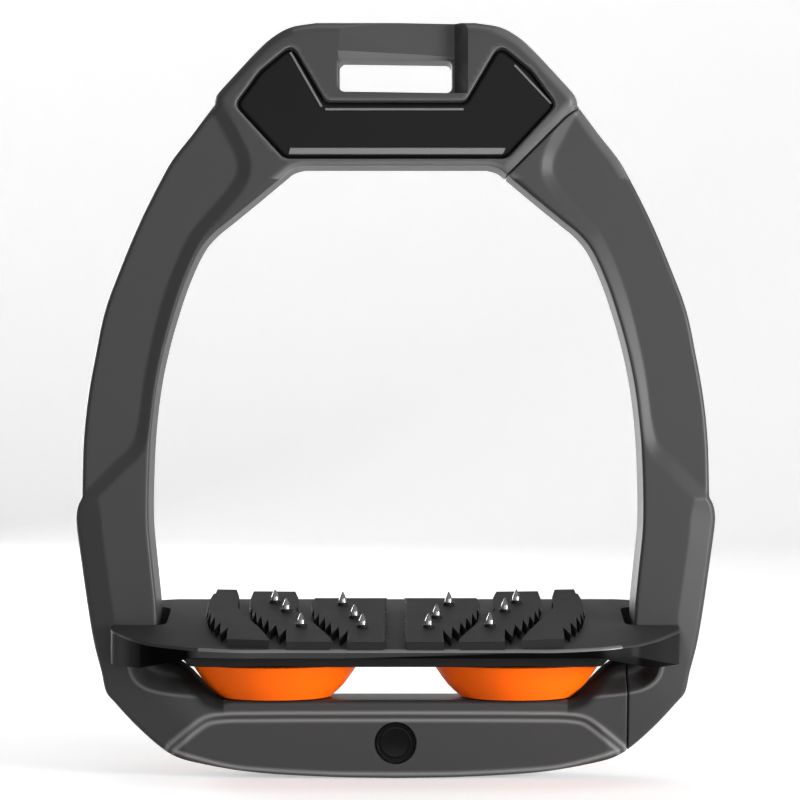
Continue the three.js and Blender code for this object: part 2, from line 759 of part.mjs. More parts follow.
// Grip blocks and studs, laid out on the tread's top.
// Each point is [share of half the tread's width, share of its depth from the middle line].
const gripShares = [
  {
    outer: [[0.655, 0.328], [0.67, 0.167], [0.675, -0.083], [0.654, -0.3], [0.614, -0.5], [0.571, -0.62]],
    inner: [
      [0.583, 0.317], [0.566, 0.133], [0.552, -0.11], [0.527, -0.2],
      [0.458, -0.383], [0.421, -0.54], [0.41, -0.62],
    ],
  },
  {
    outer: [
      [0.52, 0.285], [0.525, 0.133], [0.524, -0.017], [0.505, -0.16],
      [0.448, -0.35], [0.4, -0.5], [0.373, -0.62],
    ],
    inner: [[0.367, 0.258], [0.353, 0.142], [0.343, -0.017], [0.325, -0.2], [0.28, -0.417], [0.205, -0.62]],
  },
  {
    outer: [[0.291, 0.16], [0.307, -0.017], [0.29, -0.2], [0.247, -0.4], [0.168, -0.62]],
    inner: [[0.031, 0.15], [0.031, -0.62]],
  },
];
const studShares = [
  [[0.432, 0.067], [0.387, -0.1], [0.328, -0.372]],
  [[0.189, 0.023], [0.144, -0.217], [0.114, -0.39]],
];
const slopeScale = 1 / Math.cos(treadTilt);

const gripDepth = (treadDepth - gripFrontMargin) * slopeScale;
const gripPoint = ([x, y], side) => [(side * x * treadWidth) / 2, y * gripDepth];

const treadTop = new THREE.Group();
treadTop.position.set(0, 0, treadCentre);
treadTop.rotation.x = treadTilt;
part.add(treadTop);

const studSpots = [];
for (const side of [-1, 1]) {
  studShares.forEach((row, i) => {
    for (const spot of row) studSpots.push({ side, block: i + 1, at: gripPoint(spot, side) });
  });
}

function studHoles() {
  const radius = studStemDiameter / 2 + clearance;
  return studSpots.map(({ at: [x, v] }) => {
    const geometry = new THREE.CylinderGeometry(radius, radius, 2 * (treadSkin + overrun), smallSides);
    geometry.rotateX(Math.PI / 2);
    geometry.translate(x, v, 0);
    geometry.rotateX(treadTilt);
    geometry.translate(0, 0, treadCentre);
    return solidOf(geometry);
  });
}

function gripBlock(side, block) {
  const { outer, inner } = gripShares[block];
  const loop = [
    ...smooth(outer.map((p) => gripPoint(p, side)), gripSteps),
    ...smooth(inner.map((p) => gripPoint(p, side)), inner.length > 2 ? gripSteps : 1).reverse(),
  ];
  const low = clearance;
  const pocketRadius = studCollarDiameter / 2 + studPocket;
  const high = gripHeight + overrun;
  const pockets = studSpots.filter((spot) => spot.side === side && spot.block === block)
    .map(({ at: [x, v] }) => rod('z', pocketRadius, [x, v, 0], low - overrun, high, smallSides));
  return cut(flat(side > 0 ? loop.reverse() : loop, low, gripHeight), ...pockets);
}

function stud([x, v]) {
  const stem = studStemDiameter / 2;
  const collar = studCollarDiameter / 2;
  const tip = gripHeight + studHeight;
  const points = [
    [0, -studStemLength], [stem, -studStemLength], [stem, clearance], [collar, clearance],
    [collar, gripHeight], [stem, gripHeight + studPocket], [studTipDiameter / 2, tip], [0, tip],
  ];
  const geometry = turned(points, smallSides);
  geometry.translate(x, v, 0);
  return solidOf(geometry);
}

function buildGrip() {
  for (const side of [-1, 1]) {
    const name = side < 0 ? 'left' : 'right';
    ['outer', 'middle', 'inner'].forEach((row, block) => {
      place(`${name}_${row}_grip_block`, gripBlock(side, block), 'grip', treadTop);
    });
    studSpots.filter((spot) => spot.side === side).forEach(({ at }, i) => {
      place(`${name}_stud_${i + 1}`, stud(at), 'steel', treadTop);
    });
  }
}

buildFrameAndArm();
buildMagnets();
buildTrim();
buildTread();
buildSprings();
buildGrip();

export default part;
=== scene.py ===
import math

import bpy
import numpy as np
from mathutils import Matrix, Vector


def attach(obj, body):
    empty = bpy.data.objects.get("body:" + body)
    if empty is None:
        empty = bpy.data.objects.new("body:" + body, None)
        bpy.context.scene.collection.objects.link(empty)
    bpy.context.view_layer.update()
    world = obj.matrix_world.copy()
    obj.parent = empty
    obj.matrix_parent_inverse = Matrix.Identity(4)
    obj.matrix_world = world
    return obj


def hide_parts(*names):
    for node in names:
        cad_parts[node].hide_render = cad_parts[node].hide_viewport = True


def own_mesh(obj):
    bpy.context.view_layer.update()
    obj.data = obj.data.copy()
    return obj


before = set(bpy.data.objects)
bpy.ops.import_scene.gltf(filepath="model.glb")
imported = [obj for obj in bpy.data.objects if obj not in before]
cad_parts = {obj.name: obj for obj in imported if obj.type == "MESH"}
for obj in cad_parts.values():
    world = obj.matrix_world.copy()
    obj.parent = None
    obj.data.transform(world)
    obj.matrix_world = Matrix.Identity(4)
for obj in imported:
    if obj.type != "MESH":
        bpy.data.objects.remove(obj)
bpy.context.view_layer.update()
mm = 0.001
print("packed frame loaded")


# Shader maths: a wrapped socket whose operators add Math nodes

class Wire:
    def __init__(self, tree, socket):
        self.tree = tree
        self.socket = socket

    def math(self, operation, other, clamp=False):
        return node(self.tree, "ShaderNodeMath", {"operation": operation, "use_clamp": clamp}, [self, other])

    def __add__(self, other):
        return self.math("ADD", other)

    def __sub__(self, other):
        return self.math("SUBTRACT", other)

    def __mul__(self, other):
        return self.math("MULTIPLY", other)

    def clamped(self):
        return self.math("ADD", 0.0, True)


# One node: settings first, then a value or a link for each socket; gives its first output, or the named one
def node(tree, kind, settings=None, inputs=None, output=0):
    made = tree.nodes.new(kind)
    for name, value in (settings or {}).items():
        if name == "stops":
            ramp = made.color_ramp
            while len(ramp.elements) < len(value):
                ramp.elements.new(0.5)
            for element, (place, colour) in zip(ramp.elements, value):
                element.position = place
                element.color = (*colour, 1.0)
        else:
            setattr(made, name, value)
    pairs = inputs.items() if isinstance(inputs, dict) else enumerate(inputs or [])
    for key, value in pairs:
        if isinstance(value, Wire):
            tree.links.new(value.socket, made.inputs[key])
        else:
            made.inputs[key].default_value = value
    return Wire(tree, made.outputs[output])


# A blend from the first colour to the second by the factor
def mixColour(tree, factor, first, second):
    made = tree.nodes.new("ShaderNodeMix")
    made.data_type = "RGBA"
    for key, value in (("Factor", factor), ("A", first), ("B", second)):
        kind = "VALUE" if key == "Factor" else "RGBA"
        socket = next(s for s in made.inputs if s.name == key and s.type == kind)
        if isinstance(value, Wire):
            tree.links.new(value.socket, socket)
        else:
            socket.default_value = value if key == "Factor" else (*value, 1.0)
    return Wire(tree, next(s for s in made.outputs if s.type == "RGBA"))


# A material, its tree and its main shader
def newMaterial(name):
    made = bpy.data.materials.new(name)
    made.use_nodes = True
    tree = made.node_tree
    shader = next(n for n in tree.nodes if n.type == "BSDF_PRINCIPLED")
    return made, tree, shader


# The place on the object, stretched by a scale along each axis
def objectPlace(tree, scale=(1.0, 1.0, 1.0)):
    place = node(tree, "ShaderNodeTexCoord", output="Object")
    return node(tree, "ShaderNodeMapping", None, {"Vector": place, "Scale": scale})


# A noise texture's value at a place
def noise(tree, place, scale, detail):
    return node(tree, "ShaderNodeTexNoise", None, {"Vector": place, "Scale": scale, "Detail": detail})


# A value stored at the mesh's points
def pointValue(tree, name):
    return node(tree, "ShaderNodeAttribute", {"attribute_name": name}, None, "Fac")


def feed(tree, shader, socket, wire):
    tree.links.new(wire.socket, shader.inputs[socket])


# A bump on the shader's normal from a height wire
def bumped(tree, shader, height, strength, distance):
    inputs = {"Height": height, "Strength": strength, "Distance": distance}
    bump = node(tree, "ShaderNodeBump", None, inputs, "Normal")
    feed(tree, shader, "Normal", bump)


# A moulded plastic: faint mottling and fine spark-eroded grain. Where a finish has them, a value at the points
# paints highlights, making them paler, and another paints shade, making them darker and rougher.
def mouldedPlastic(name, values):
    made, tree, shader = newMaterial(name)
    place = objectPlace(tree)
    broad = noise(tree, place, values["mottleScale"], 4.0)
    grain = noise(tree, place, values["grainScale"], 3.0)
    darker = tuple(c * (1 - values["mottle"]) for c in values["colour"])
    lighter = tuple(c * (1 + values["mottle"]) for c in values["colour"])
    colour = mixColour(tree, broad, darker, lighter)
    rough = broad * values["roughSpread"] + (values["rough"] - values["roughSpread"] / 2)
    if "ridge" in values:
        colour = mixColour(tree, pointValue(tree, "ridge"), colour, values["ridge"])
        hollow = pointValue(tree, "hollow")
        colour = mixColour(tree, hollow, colour, values["hollow"])
        rough = (rough + hollow * values["paintedShadeRough"]).clamped()
    feed(tree, shader, "Base Color", colour)
    feed(tree, shader, "Roughness", rough)
    shader.inputs["Specular IOR Level"].default_value = values["specular"]
    bumped(tree, shader, grain, values["grainStrength"], values["grainDepth"] * mm)
    return made


# Bright turned steel, with fine rings of machining as noise stretched round the axis
def brightSteel(name, values):
    made, tree, shader = newMaterial(name)
    place = objectPlace(tree, (1.0, 1.0, values["stretch"]))
    lines = noise(tree, place, values["lineScale"], 2.0)
    shader.inputs["Base Color"].default_value = (*values["colour"], 1.0)
    shader.inputs["Metallic"].default_value = 1.0
    feed(tree, shader, "Roughness", lines * values["roughSpread"] + values["rough"])
    bumped(tree, shader, lines, values["strength"], values["depth"] * mm)
    return made


# The tread's wall: gloss black, with painted reflection. Its level is a ramp along X, paler at the ends and in
# the middle as painted reflection, and it turns black below a slanting line, within the wedge's half width; the
# paler wedge above that line is painted reflection too
def treadWall(name, values):
    made, tree, shader = newMaterial(name)
    x, z = splitPlace(tree)
    along = (x * (1 / (2 * values["half"] * mm)) + 0.5).clamped()
    stops = [(0.5 + place / (2 * values["half"]), (level,) * 3) for place, level in values["reflectionLevels"]]
    paintedReflection = node(tree, "ShaderNodeValToRGB", {"stops": stops}, [along])
    line = x * values["lineSlope"] + values["lineMiddle"] * mm
    outside = (x.math("ABSOLUTE", 0.0) - values["reflectionWedgeHalf"] * mm) * (1 / mm)
    above = ((z - line) * (1 / (values["lineBlur"] * mm)) + 0.5 + outside.math("MAXIMUM", 0.0)).clamped()
    feed(tree, shader, "Base Color", mixColour(tree, above, values["low"], paintedReflection))
    shader.inputs["Roughness"].default_value = values["rough"]
    shader.inputs["Specular IOR Level"].default_value = values["specular"]
    return made


# The x and z of the place on the object
def splitPlace(tree):
    split = tree.nodes.new("ShaderNodeSeparateXYZ")
    place = node(tree, "ShaderNodeTexCoord", output="Object")
    tree.links.new(place.socket, split.inputs[0])
    return Wire(tree, split.outputs["X"]), Wire(tree, split.outputs["Z"])


# Levels are [x in mm, level]: black stretches on both prongs; the paler ends and the paler middle, fading out
# to the right, are painted reflection
treadWallReflectionPaint = {
    "half": 71.0, "rough": 0.25, "specular": 0.01, "low": (0.001, 0.001, 0.001),
    "reflectionLevels": [(-71, 0.045), (-66, 0.022), (-62.4, 0.01), (-62.1, 0.001), (-50.5, 0.001), (-47.6, 0.04),
               (0, 0.03), (25, 0.02), (35, 0.001), (57.2, 0.001), (57.6, 0.009), (71, 0.012)],
    "lineSlope": 0.031, "lineMiddle": -147.15, "lineBlur": 0.3, "reflectionWedgeHalf": 51.0,
}

# The frame's paler colour for marked points is a painted highlight, its darker one a painted shade
frameFinish = {
    "colour": (0.028, 0.028, 0.0282), "mottle": 0.05, "mottleScale": 60.0, "grainScale": 2600.0,
    "rough": 0.44, "roughSpread": 0.06, "specular": 0.2, "grainStrength": 0.14, "grainDepth": 0.05,
    "ridge": (0.16, 0.16, 0.16), "hollow": (0.008, 0.008, 0.008), "paintedShadeRough": 0.5,
}
treadFinish = {
    "colour": (0.028, 0.028, 0.0282), "mottle": 0.05, "mottleScale": 70.0, "grainScale": 2400.0,
    "rough": 0.55, "roughSpread": 0.06, "specular": 0.06, "grainStrength": 0.1, "grainDepth": 0.04,
}
# A paler colour for the tread's front rim and the slot's chamfer: a painted highlight
treadRimHighlightFinish = {
    "colour": (0.09, 0.09, 0.09), "mottle": 0.04, "mottleScale": 70.0, "grainScale": 2400.0,
    "rough": 0.35, "roughSpread": 0.05, "specular": 0.4, "grainStrength": 0.04, "grainDepth": 0.03,
}
glossFinish = {
    "colour": (0.004, 0.004, 0.0042), "mottle": 0.03, "mottleScale": 40.0, "grainScale": 900.0,
    "rough": 0.2, "roughSpread": 0.03, "specular": 0.04, "grainStrength": 0.02, "grainDepth": 0.02,
}
# Paler grey for the insert's bars and shelf: a painted highlight
barHighlightFinish = {
    "colour": (0.085, 0.085, 0.085), "mottle": 0.03, "mottleScale": 60.0, "grainScale": 2000.0,
    "rough": 0.35, "roughSpread": 0.05, "specular": 0.5, "grainStrength": 0.04, "grainDepth": 0.03,
}
elastomerFinish = {
    "colour": (1.0, 0.135, 0.002), "mottle": 0.02, "mottleScale": 80.0, "grainScale": 1800.0,
    "rough": 0.5, "roughSpread": 0.06, "specular": 0.12, "grainStrength": 0.05, "grainDepth": 0.04,
}
gripFinish = {
    "colour": (0.014, 0.014, 0.0142), "mottle": 0.08, "mottleScale": 160.0, "grainScale": 1500.0,
    "rough": 0.6, "roughSpread": 0.08, "specular": 0.08, "grainStrength": 0.35, "grainDepth": 0.12,
}
blackFinish = {
    "colour": (0.006, 0.006, 0.0063), "mottle": 0.06, "mottleScale": 90.0, "grainScale": 2200.0,
    "rough": 0.5, "roughSpread": 0.08, "specular": 0.15, "grainStrength": 0.08, "grainDepth": 0.04,
}
studFinish = {"colour": (0.14, 0.14, 0.145), "rough": 0.16, "roughSpread": 0.06, "lineScale": 900.0,
              "stretch": 14.0, "strength": 0.05, "depth": 0.02}
zincFinish = {"colour": (0.62, 0.63, 0.65), "rough": 0.22, "roughSpread": 0.16, "lineScale": 700.0,
              "stretch": 9.0, "strength": 0.12, "depth": 0.03}

framePlastic = mouldedPlastic("frame composite", frameFinish)
treadPlastic = mouldedPlastic("tread composite", treadFinish)
treadRimHighlight = mouldedPlastic("tread rim painted highlight", treadRimHighlightFinish)
treadWallPaintedReflection = treadWall("tread wall painted reflection", treadWallReflectionPaint)
glossPlastic = mouldedPlastic("gloss black", glossFinish)
barHighlightPlastic = mouldedPlastic("insert bar painted highlight", barHighlightFinish)
elastomer = mouldedPlastic("orange elastomer", elastomerFinish)
gripPolymer = mouldedPlastic("grip polymer", gripFinish)
blackPlastic = mouldedPlastic("black plastic", blackFinish)
studSteel = brightSteel("stud steel", studFinish)
zincSteel = brightSteel("zinc plated steel", zincFinish)
print("materials made")


# Curves in a plane

# Cubic curve through all points, with tangents from neighbouring chords, sampled evenly by arc length
def splineThrough(points, step):
    p = np.asarray(points, float)
    gaps = np.sqrt(np.linalg.norm(np.diff(p, axis=0), axis=1))
    knots = np.concatenate([[0.0], np.cumsum(gaps)])
    slopes = np.diff(p, axis=0) / gaps[:, None]
    tangents = np.empty_like(p)
    tangents[0] = slopes[0]
    tangents[-1] = slopes[-1]
    before, after = gaps[:-1, None], gaps[1:, None]
    tangents[1:-1] = (slopes[:-1] * after + slopes[1:] * before) / (before + after)
    fine = np.linspace(0, knots[-1], 24 * len(p))
    spot = np.clip(np.searchsorted(knots, fine, "right") - 1, 0, len(p) - 2)
    width = gaps[spot][:, None]
    t = (fine[:, None] - knots[spot][:, None]) / width
    curve = ((2 * t**3 - 3 * t**2 + 1) * p[spot] + (t**3 - 2 * t**2 + t) * width * tangents[spot]
             + (3 * t**2 - 2 * t**3) * p[spot + 1] + (t**3 - t**2) * width * tangents[spot + 1])
    return evenly(curve, step)


# Length along a polyline up to each of its points
def runAlong(line):
    return np.concatenate([[0.0], np.cumsum(np.linalg.norm(np.diff(line, axis=0), axis=1))])


# Points of a polyline at places along its run
def pointsAt(line, run, places):
    return np.stack([np.interp(places, run, line[:, 0]), np.interp(places, run, line[:, 1])], 1)


# The same polyline with points spaced evenly along it
def evenly(points, step):
    p = np.asarray(points, float)
    run = runAlong(p)
    count = max(2, int(math.ceil(run[-1] / step)) + 1)
    return pointsAt(p, run, np.linspace(0, run[-1], count))


# Runs joined end to end, each a spline or, with two points, a straight line; corners stay between runs
def joinedRuns(runs, step):
    parts = [splineThrough(run, step) if len(run) > 2 else evenly(run, step) for run in runs]
    return np.concatenate([part[:-1] for part in parts[:-1]] + [parts[-1]])


# The right half followed by its mirror image, walked back, without the two middle points
def mirroredHalf(half):
    return np.concatenate([half, (half[::-1] * [-1, 1])[1:-1]])


# Whether each point lies inside a closed loop, by counting crossings
def insideLoop(points, loop):
    inside = np.zeros(len(points), bool)
    x, z = points[:, 0], points[:, 1]
    for (x0, z0), (x1, z1) in zip(loop, np.roll(loop, -1, 0)):
        if z0 == z1:
            continue
        crossing = ((z0 > z) != (z1 > z)) & (x < (x1 - x0) * (z - z0) / (z1 - z0) + x0)
        inside ^= crossing
    return inside


# Normals of a closed loop, turned to point out of it
def outwardNormals(loop):
    along = np.roll(loop, -1, 0) - np.roll(loop, 1, 0)
    normal = np.stack([along[:, 1], -along[:, 0]], 1)
    normal = normal / np.linalg.norm(normal, axis=1)[:, None]
    return -normal if insideLoop(loop[:1] + normal[:1] * 0.05, loop)[0] else normal


# Least distance from each point to a polyline, taken in chunks of points to spare memory
def distanceTo(points, line, closed=True):
    ends = np.roll(line, -1, 0) if closed else line[1:]
    starts = line if closed else line[:-1]
    least = np.full(len(points), 1e9)
    for chunk in range(0, len(points), 4000):
        p = points[chunk:chunk + 4000, None, :]
        side = (ends - starts)[None]
        length = np.maximum((side**2).sum(2), 1e-12)
        share = np.clip(((p - starts[None]) * side).sum(2) / length, 0, 1)
        far = np.linalg.norm(p - (starts[None] + share[..., None] * side), axis=2)
        least[chunk:chunk + 4000] = far.min(1)
    return least


# Distance to a closed loop, below zero inside it
def signedDistance(points, loop):
    least = distanceTo(points, loop)
    return np.where(insideLoop(points, loop), -least, least)


# Meshes

# A closed mesh from points in millimetres, turned the right way out by the sign of its volume
def meshObject(name, vertices, faces, materials, faceMaterial=None, smoothAngle=35.0):
    vertices = np.asarray(vertices, float) * mm
    mesh = bpy.data.meshes.new(name)
    mesh.from_pydata(vertices.tolist(), [], faces)
    for material in materials:
        mesh.materials.append(material)
    if faceMaterial is not None:
        mesh.polygons.foreach_set("material_index", np.asarray(faceMaterial, np.int32))
    mesh.calc_loop_triangles()
    corners = np.empty(len(mesh.loop_triangles) * 3, np.int32)
    mesh.loop_triangles.foreach_get("vertices", corners)
    a, b, c = vertices[corners.reshape(-1, 3)].transpose(1, 0, 2)
    if (a * np.cross(b, c)).sum() < 0:
        mesh.flip_normals()
    mesh.shade_smooth()
    mesh.set_sharp_from_angle(angle=math.radians(smoothAngle))
    made = bpy.data.objects.new(name, mesh)
    bpy.context.scene.collection.objects.link(made)
    return made


# Faces of a grid whose rows are closed loops of the same length, each row joined to the next
def loopFaces(rows, columns, closeRows=False):
    i = np.arange(rows if closeRows else rows - 1)[:, None] * columns
    j = np.arange(columns)[None]
    nextRow = (i + columns) % (rows * columns)
    nextColumn = (j + 1) % columns
    return np.stack([i + j, i + nextColumn, nextRow + nextColumn, nextRow + j], 2).reshape(-1, 4)


# Rows of [radius, height] turned about an upright line, with more points after them; then spun and moved
def revolved(rows, more, centre, sides, spin):
    angle = np.linspace(0, 2 * math.pi, sides, endpoint=False)
    radius = rows[:, None, 0]
    ring = np.stack([radius * np.cos(angle), radius * np.sin(angle), np.repeat(rows[:, 1:], sides, 1)], 2)
    vertices = np.concatenate([ring.reshape(-1, 3), more])
    if spin is not None:
        vertices = vertices @ np.asarray(spin, float).T
    return vertices + np.asarray(centre, float)


# A body of revolution; its profile starts and ends on the axis
def turnedPiece(name, profile, centre, sides, materials, spin=None, smoothAngle=35.0):
    profile = np.asarray(profile, float)
    rim = profile[1:-1]
    ends = [[0, 0, profile[0, 1]], [0, 0, profile[-1, 1]]]
    faces = loopFaces(len(rim), sides).tolist()
    low = len(rim) * sides
    last = low - sides
    for j in range(sides):
        k = (j + 1) % sides
        faces += [[low, k, j], [low + 1, last + j, last + k]]
    vertices = revolved(rim, ends, centre, sides, spin)
    return meshObject(name, vertices, faces, materials, smoothAngle=smoothAngle)


# A closed tube of revolution: the profile closes on itself
def turnedRing(name, profile, centre, sides, materials, spin=None, smoothAngle=35.0):
    profile = np.asarray(profile, float)
    vertices = revolved(profile, np.empty((0, 3)), centre, sides, spin)
    faces = loopFaces(len(profile), sides, True).tolist()
    return meshObject(name, vertices, faces, materials, smoothAngle=smoothAngle)


# A solid changed by a tool, which is used up
def cutOrJoin(piece, tool, operation):
    step = piece.modifiers.new(operation, "BOOLEAN")
    step.operation = operation
    step.solver = "MANIFOLD"
    step.object = tool
    bpy.context.view_layer.update()
    shaped = bpy.data.meshes.new_from_object(piece.evaluated_get(bpy.context.evaluated_depsgraph_get()))
    piece.modifiers.clear()
    piece.data = shaped
    shaped.set_sharp_from_angle(angle=math.radians(35.0))
    bpy.data.objects.remove(tool)


# Frame sizes in millimetres, as in the model. The outlines below are shares of them.
frameSizes = {
    "outerHalf": 80.1, "innerHalf": 61.7, "crownUnder": -26.75, "openingHeight": 133.5,
    "crownHeight": 35.9, "baseTop": -160.25, "baseHeight": 19.6, "halfDepth": 10.0,
    "seamGap": 0.3, "bottomSeam": 58.0,
}


# Shares of the frame's outlines as millimetres: across its outer and inner half width, down the opening,
# up the crown and down the base
def across(share):
    return share * frameSizes["outerHalf"]


def inside(share):
    return share * frameSizes["innerHalf"]


def down(share):
    return frameSizes["crownUnder"] - share * frameSizes["openingHeight"]


def crownUp(share):
    return frameSizes["crownUnder"] + share * frameSizes["crownHeight"]


def baseDown(share):
    return frameSizes["baseTop"] - share * frameSizes["baseHeight"]


def placed(shares, xOf, zOf):
    return [(xOf(x), zOf(z)) for x, z in shares]


crownShares = [(0.25, 1), (0.33, 0.968), (0.385, 0.9), (0.43, 0.81), (0.545, 0.535)]
cornerShares = [(0.545, 0.535), (0.562, 0.487), (0.569, 0.44), (0.569, 0.426)]
armShares = [(0.63, -0.064), (0.7, -0.01), (0.734, 0.026), (0.8, 0.105), (0.859, 0.189),
             (0.909, 0.27), (0.938, 0.351), (0.962, 0.432), (0.976, 0.513), (0.981, 0.62)]
blockShares = [(0.981, 0.62), (0.9945, 0.636), (1, 0.655), (0.999, 0.672), (0.99, 0.714), (0.946, 0.888),
               (0.92, 0.95)]
heelShares = [(0.905, -0.08), (0.88, 0.04), (0.813, 0.334), (0.731, 0.628), (0.687, 0.73),
              (0.604, 0.819), (0.454, 0.921), (0.2, 0.985), (0, 1)]
innerShares = [(0.376, 0), (0.42, 0.006), (0.449, 0.0165), (0.56, 0.059), (0.677, 0.103), (0.733, 0.124),
               (0.775, 0.145), (0.805, 0.1675), (0.855, 0.22), (0.895, 0.2746), (0.935, 0.34), (0.967, 0.411),
               (0.988, 0.49), (0.997, 0.557), (1, 0.669), (0.985, 0.745), (0.969, 0.8187), (0.957, 0.915),
               (0.947, 0.925), (0.927, 0.9303), (0.89, 0.9345), (0.848, 0.948), (0.814, 0.9637),
               (0.781, 0.9794), (0.749, 0.993), (0.7, 1)]

outlineStep = 0.9
outerHalfLine = joinedRuns([
    [(0, crownUp(1)), (across(0.25), crownUp(1))],
    placed(crownShares, across, crownUp),
    placed(cornerShares, across, crownUp),
    placed([(0.569, 0.426)], across, crownUp) + placed(armShares, across, down),
    placed(blockShares, across, down) + placed(heelShares, across, baseDown),
], outlineStep)
innerHalfLine = joinedRuns([
    [(0, down(0)), (inside(0.376), down(0))],
    placed(innerShares, inside, down),
    [(inside(0.7), down(1)), (0, down(1))],
], outlineStep)

# Leather slot and strap channel: side and floor are the radii of the rim's rounding, and each chamfer is
# [height, run back from the surface]
slotSizes = {"half": 14.2, "height": 8.2, "corner": 1.5, "side": 0.7, "floor": 0.45,
             "channelDepth": 4.5, "wallRun": 3.3, "channelShift": 0.6, "channelFloor": -8.6,
             "chamferLeft": (2.0, 1.5), "chamferRight": (0.8, 0.7), "chamferLean": 0.6}


# A rectangle with round corners
def roundedBox(x0, x1, z0, z1, radius, steps):
    corners = [(x1 - radius, z1 - radius, 0), (x0 + radius, z1 - radius, 90),
               (x0 + radius, z0 + radius, 180), (x1 - radius, z0 + radius, 270)]
    points = []
    for cx, cz, start in corners:
        for degrees in np.linspace(0, 90, steps + 1):
            a = math.radians(start + degrees)
            points.append((cx + radius * math.cos(a), cz + radius * math.sin(a)))
    return np.array(points)


slotLoop = roundedBox(-slotSizes["half"], slotSizes["half"], -slotSizes["height"], 0, slotSizes["corner"], 5)
slotLoop = np.concatenate([evenly(np.array([a, b]), outlineStep)[:-1]
                           for a, b in zip(slotLoop, np.roll(slotLoop, -1, 0))])

# Relief outlines: the floor of each relief, in the front view, right side
armReliefShares = [(0.6, -0.135), (0.58, -0.11), (0.553, -0.081), (0.518, -0.042), (0.497, -0.014),
                   (0.494, 0.01), (0.508, 0.029), (0.551, 0.062), (0.607, 0.101), (0.642, 0.127),
                   (0.716, 0.229), (0.776, 0.371), (0.807, 0.493), (0.824, 0.523), (0.88, 0.556),
                   (0.958, 0.603), (1.03, 0.646)]
blockBevelShares = [(1.06, 0.575), (1.03, 0.61), (1.003, 0.648), (0.99, 0.714), (0.946, 0.888),
                    (0.912, 0.974), (0.88, 1.05)]
panelShares = [(0, 0.258), (0.424, 0.263), (0.54, 0.273), (0.584, 0.304), (0.617, 0.39), (0.694, 0.65)]
panelFootShares = [(0.694, 0.65), (0.615, 0.747), (0.513, 0.845), (0.423, 0.885), (0.2, 0.935), (0, 0.945)]
scoopPoints = [(42.5, -160.1), (44.4, -159.9), (50, -159.4), (57.7, -158.6), (62.6, -157.4), (65.4, -155.4),
               (66.6, -152.7), (66.8, -149), (65.6, -146), (62, -143.5)]
heelPoints = [(78, -148), (74, -156), (69.5, -163), (63, -169.5), (59.5, -172.5)]
insertShares = [(0.5, 0.425), (0.336, 0.82), (0.312, 0.82), (0.219, 0.445)]
insertFootShare = (0.347, 0.055)
insertSizes = {"bow": 0.9, "peak": 0.8, "radii": [3.6, 2.4, 9.0, 2.6, 2.2], "arcSteps": 6}

reliefSizes = {
    "armDepth": 1.4, "armBand": 3.3, "blockDepth": 2.0, "blockBand": 6.4, "scoopDepth": 5.2, "scoopBand": 4.4,
    "panelDepth": 0.8, "panelBand": 1.9, "panelCrease": 0.25, "heelDepth": 2.3, "heelBand": 10.5,
    "heelCrease": 2.0, "pocketDepth": 2.2, "pocketRound": 0.4, "pocketGap": 0.3, "crease": 0.4,
    "outerRound": 1.25, "bottomRound": 0.8, "innerRound": 1.0, "crownRound": 2.3, "crownUnderRound": 1.4,
    "footRound": 2.6, "seamChamfer": 0.45, "seamChamferWidth": 1.8, "seamRound": 0.4, "seamLength": 32.0,
    "badgeDrop": 10.75, "bead": 0.15, "beadHalf": 0.36,
}


# The crown insert's outline: its upper side bows out between the side corner and a peak near the middle
def insertOutline(grow):
    s = insertSizes
    side, topOuter, topInner, dip = placed(insertShares, across, crownUp)
    foot = (across(insertFootShare[0]), crownUp(insertFootShare[1]))
    middle = ((topOuter[0] + topInner[0]) / 2, topOuter[1] + s["peak"])
    bulge = ((side[0] + middle[0]) / 2 + s["bow"], (side[1] + middle[1]) / 2 + s["bow"])
    right = [foot, side, bulge, middle, dip]
    loop = np.array(right + [(-x, z) for x, z in right[::-1]])
    return roundedLoop(offsetLoop(loop, grow), s["radii"] + s["radii"][::-1], s["arcSteps"])


# Each side moved out by a distance, corners kept mitred
def offsetLoop(loop, distance):
    ahead = np.roll(loop, -1, 0) - loop
    ahead /= np.linalg.norm(ahead, axis=1)[:, None]
    behind = np.roll(ahead, 1, 0)
    outward = np.stack([ahead[:, 1], -ahead[:, 0]], 1)
    previous = np.stack([behind[:, 1], -behind[:, 0]], 1)
    miter = outward + previous
    miter /= np.maximum((miter * outward).sum(1), 0.2)[:, None]
    return loop + miter * distance


# Corners of a polygon replaced by arcs that touch both sides
def roundedLoop(loop, radii, steps):
    points = []
    n = len(loop)
    for i in range(n):
        before, here, after = loop[i - 1], loop[i], loop[(i + 1) % n]
        lengths = [np.linalg.norm(before - here), np.linalg.norm(after - here)]
        a, b = (before - here) / lengths[0], (after - here) / lengths[1]
        half = math.acos(max(-1.0, min(1.0, float(a @ b)))) / 2
        reach = min(radii[i] / math.tan(half), 0.45 * lengths[0], 0.45 * lengths[1])
        start, end = here + a * reach, here + b * reach
        for t in np.linspace(0, 1, steps + 1):
            points.append((1 - t)**2 * start + 2 * t * (1 - t) * here + t**2 * end)
    return np.array(points)


reliefStep = 1.0
farOut = across(1.25)


# A line closed through two points far outside the frame
def closedOutside(line):
    return np.concatenate([line, [[farOut, line[-1][1]], [farOut, line[0][1]]]])


armReliefLoop = closedOutside(splineThrough(placed(armReliefShares, across, down), reliefStep))
blockLoop = closedOutside(splineThrough(placed(blockBevelShares, across, down), reliefStep))
panelTop = splineThrough(placed(panelShares, across, baseDown), reliefStep)
panelFoot = splineThrough(placed(panelFootShares, across, baseDown), reliefStep)
panelLoop = np.concatenate([panelTop, [[60, -190], [-60, -190]], panelTop[::-1] * [-1, 1]])
scoopLoop = np.concatenate([splineThrough(scoopPoints, reliefStep), [[50, -143.5], [42.5, -150]]])
heelLine = splineThrough(heelPoints, reliefStep)
heelLoop = np.concatenate([heelLine, [[60, -190], [farOut, -190], [farOut, -148]]])
badgeCentre = np.array([0.0, frameSizes["baseTop"] - reliefSizes["badgeDrop"]])

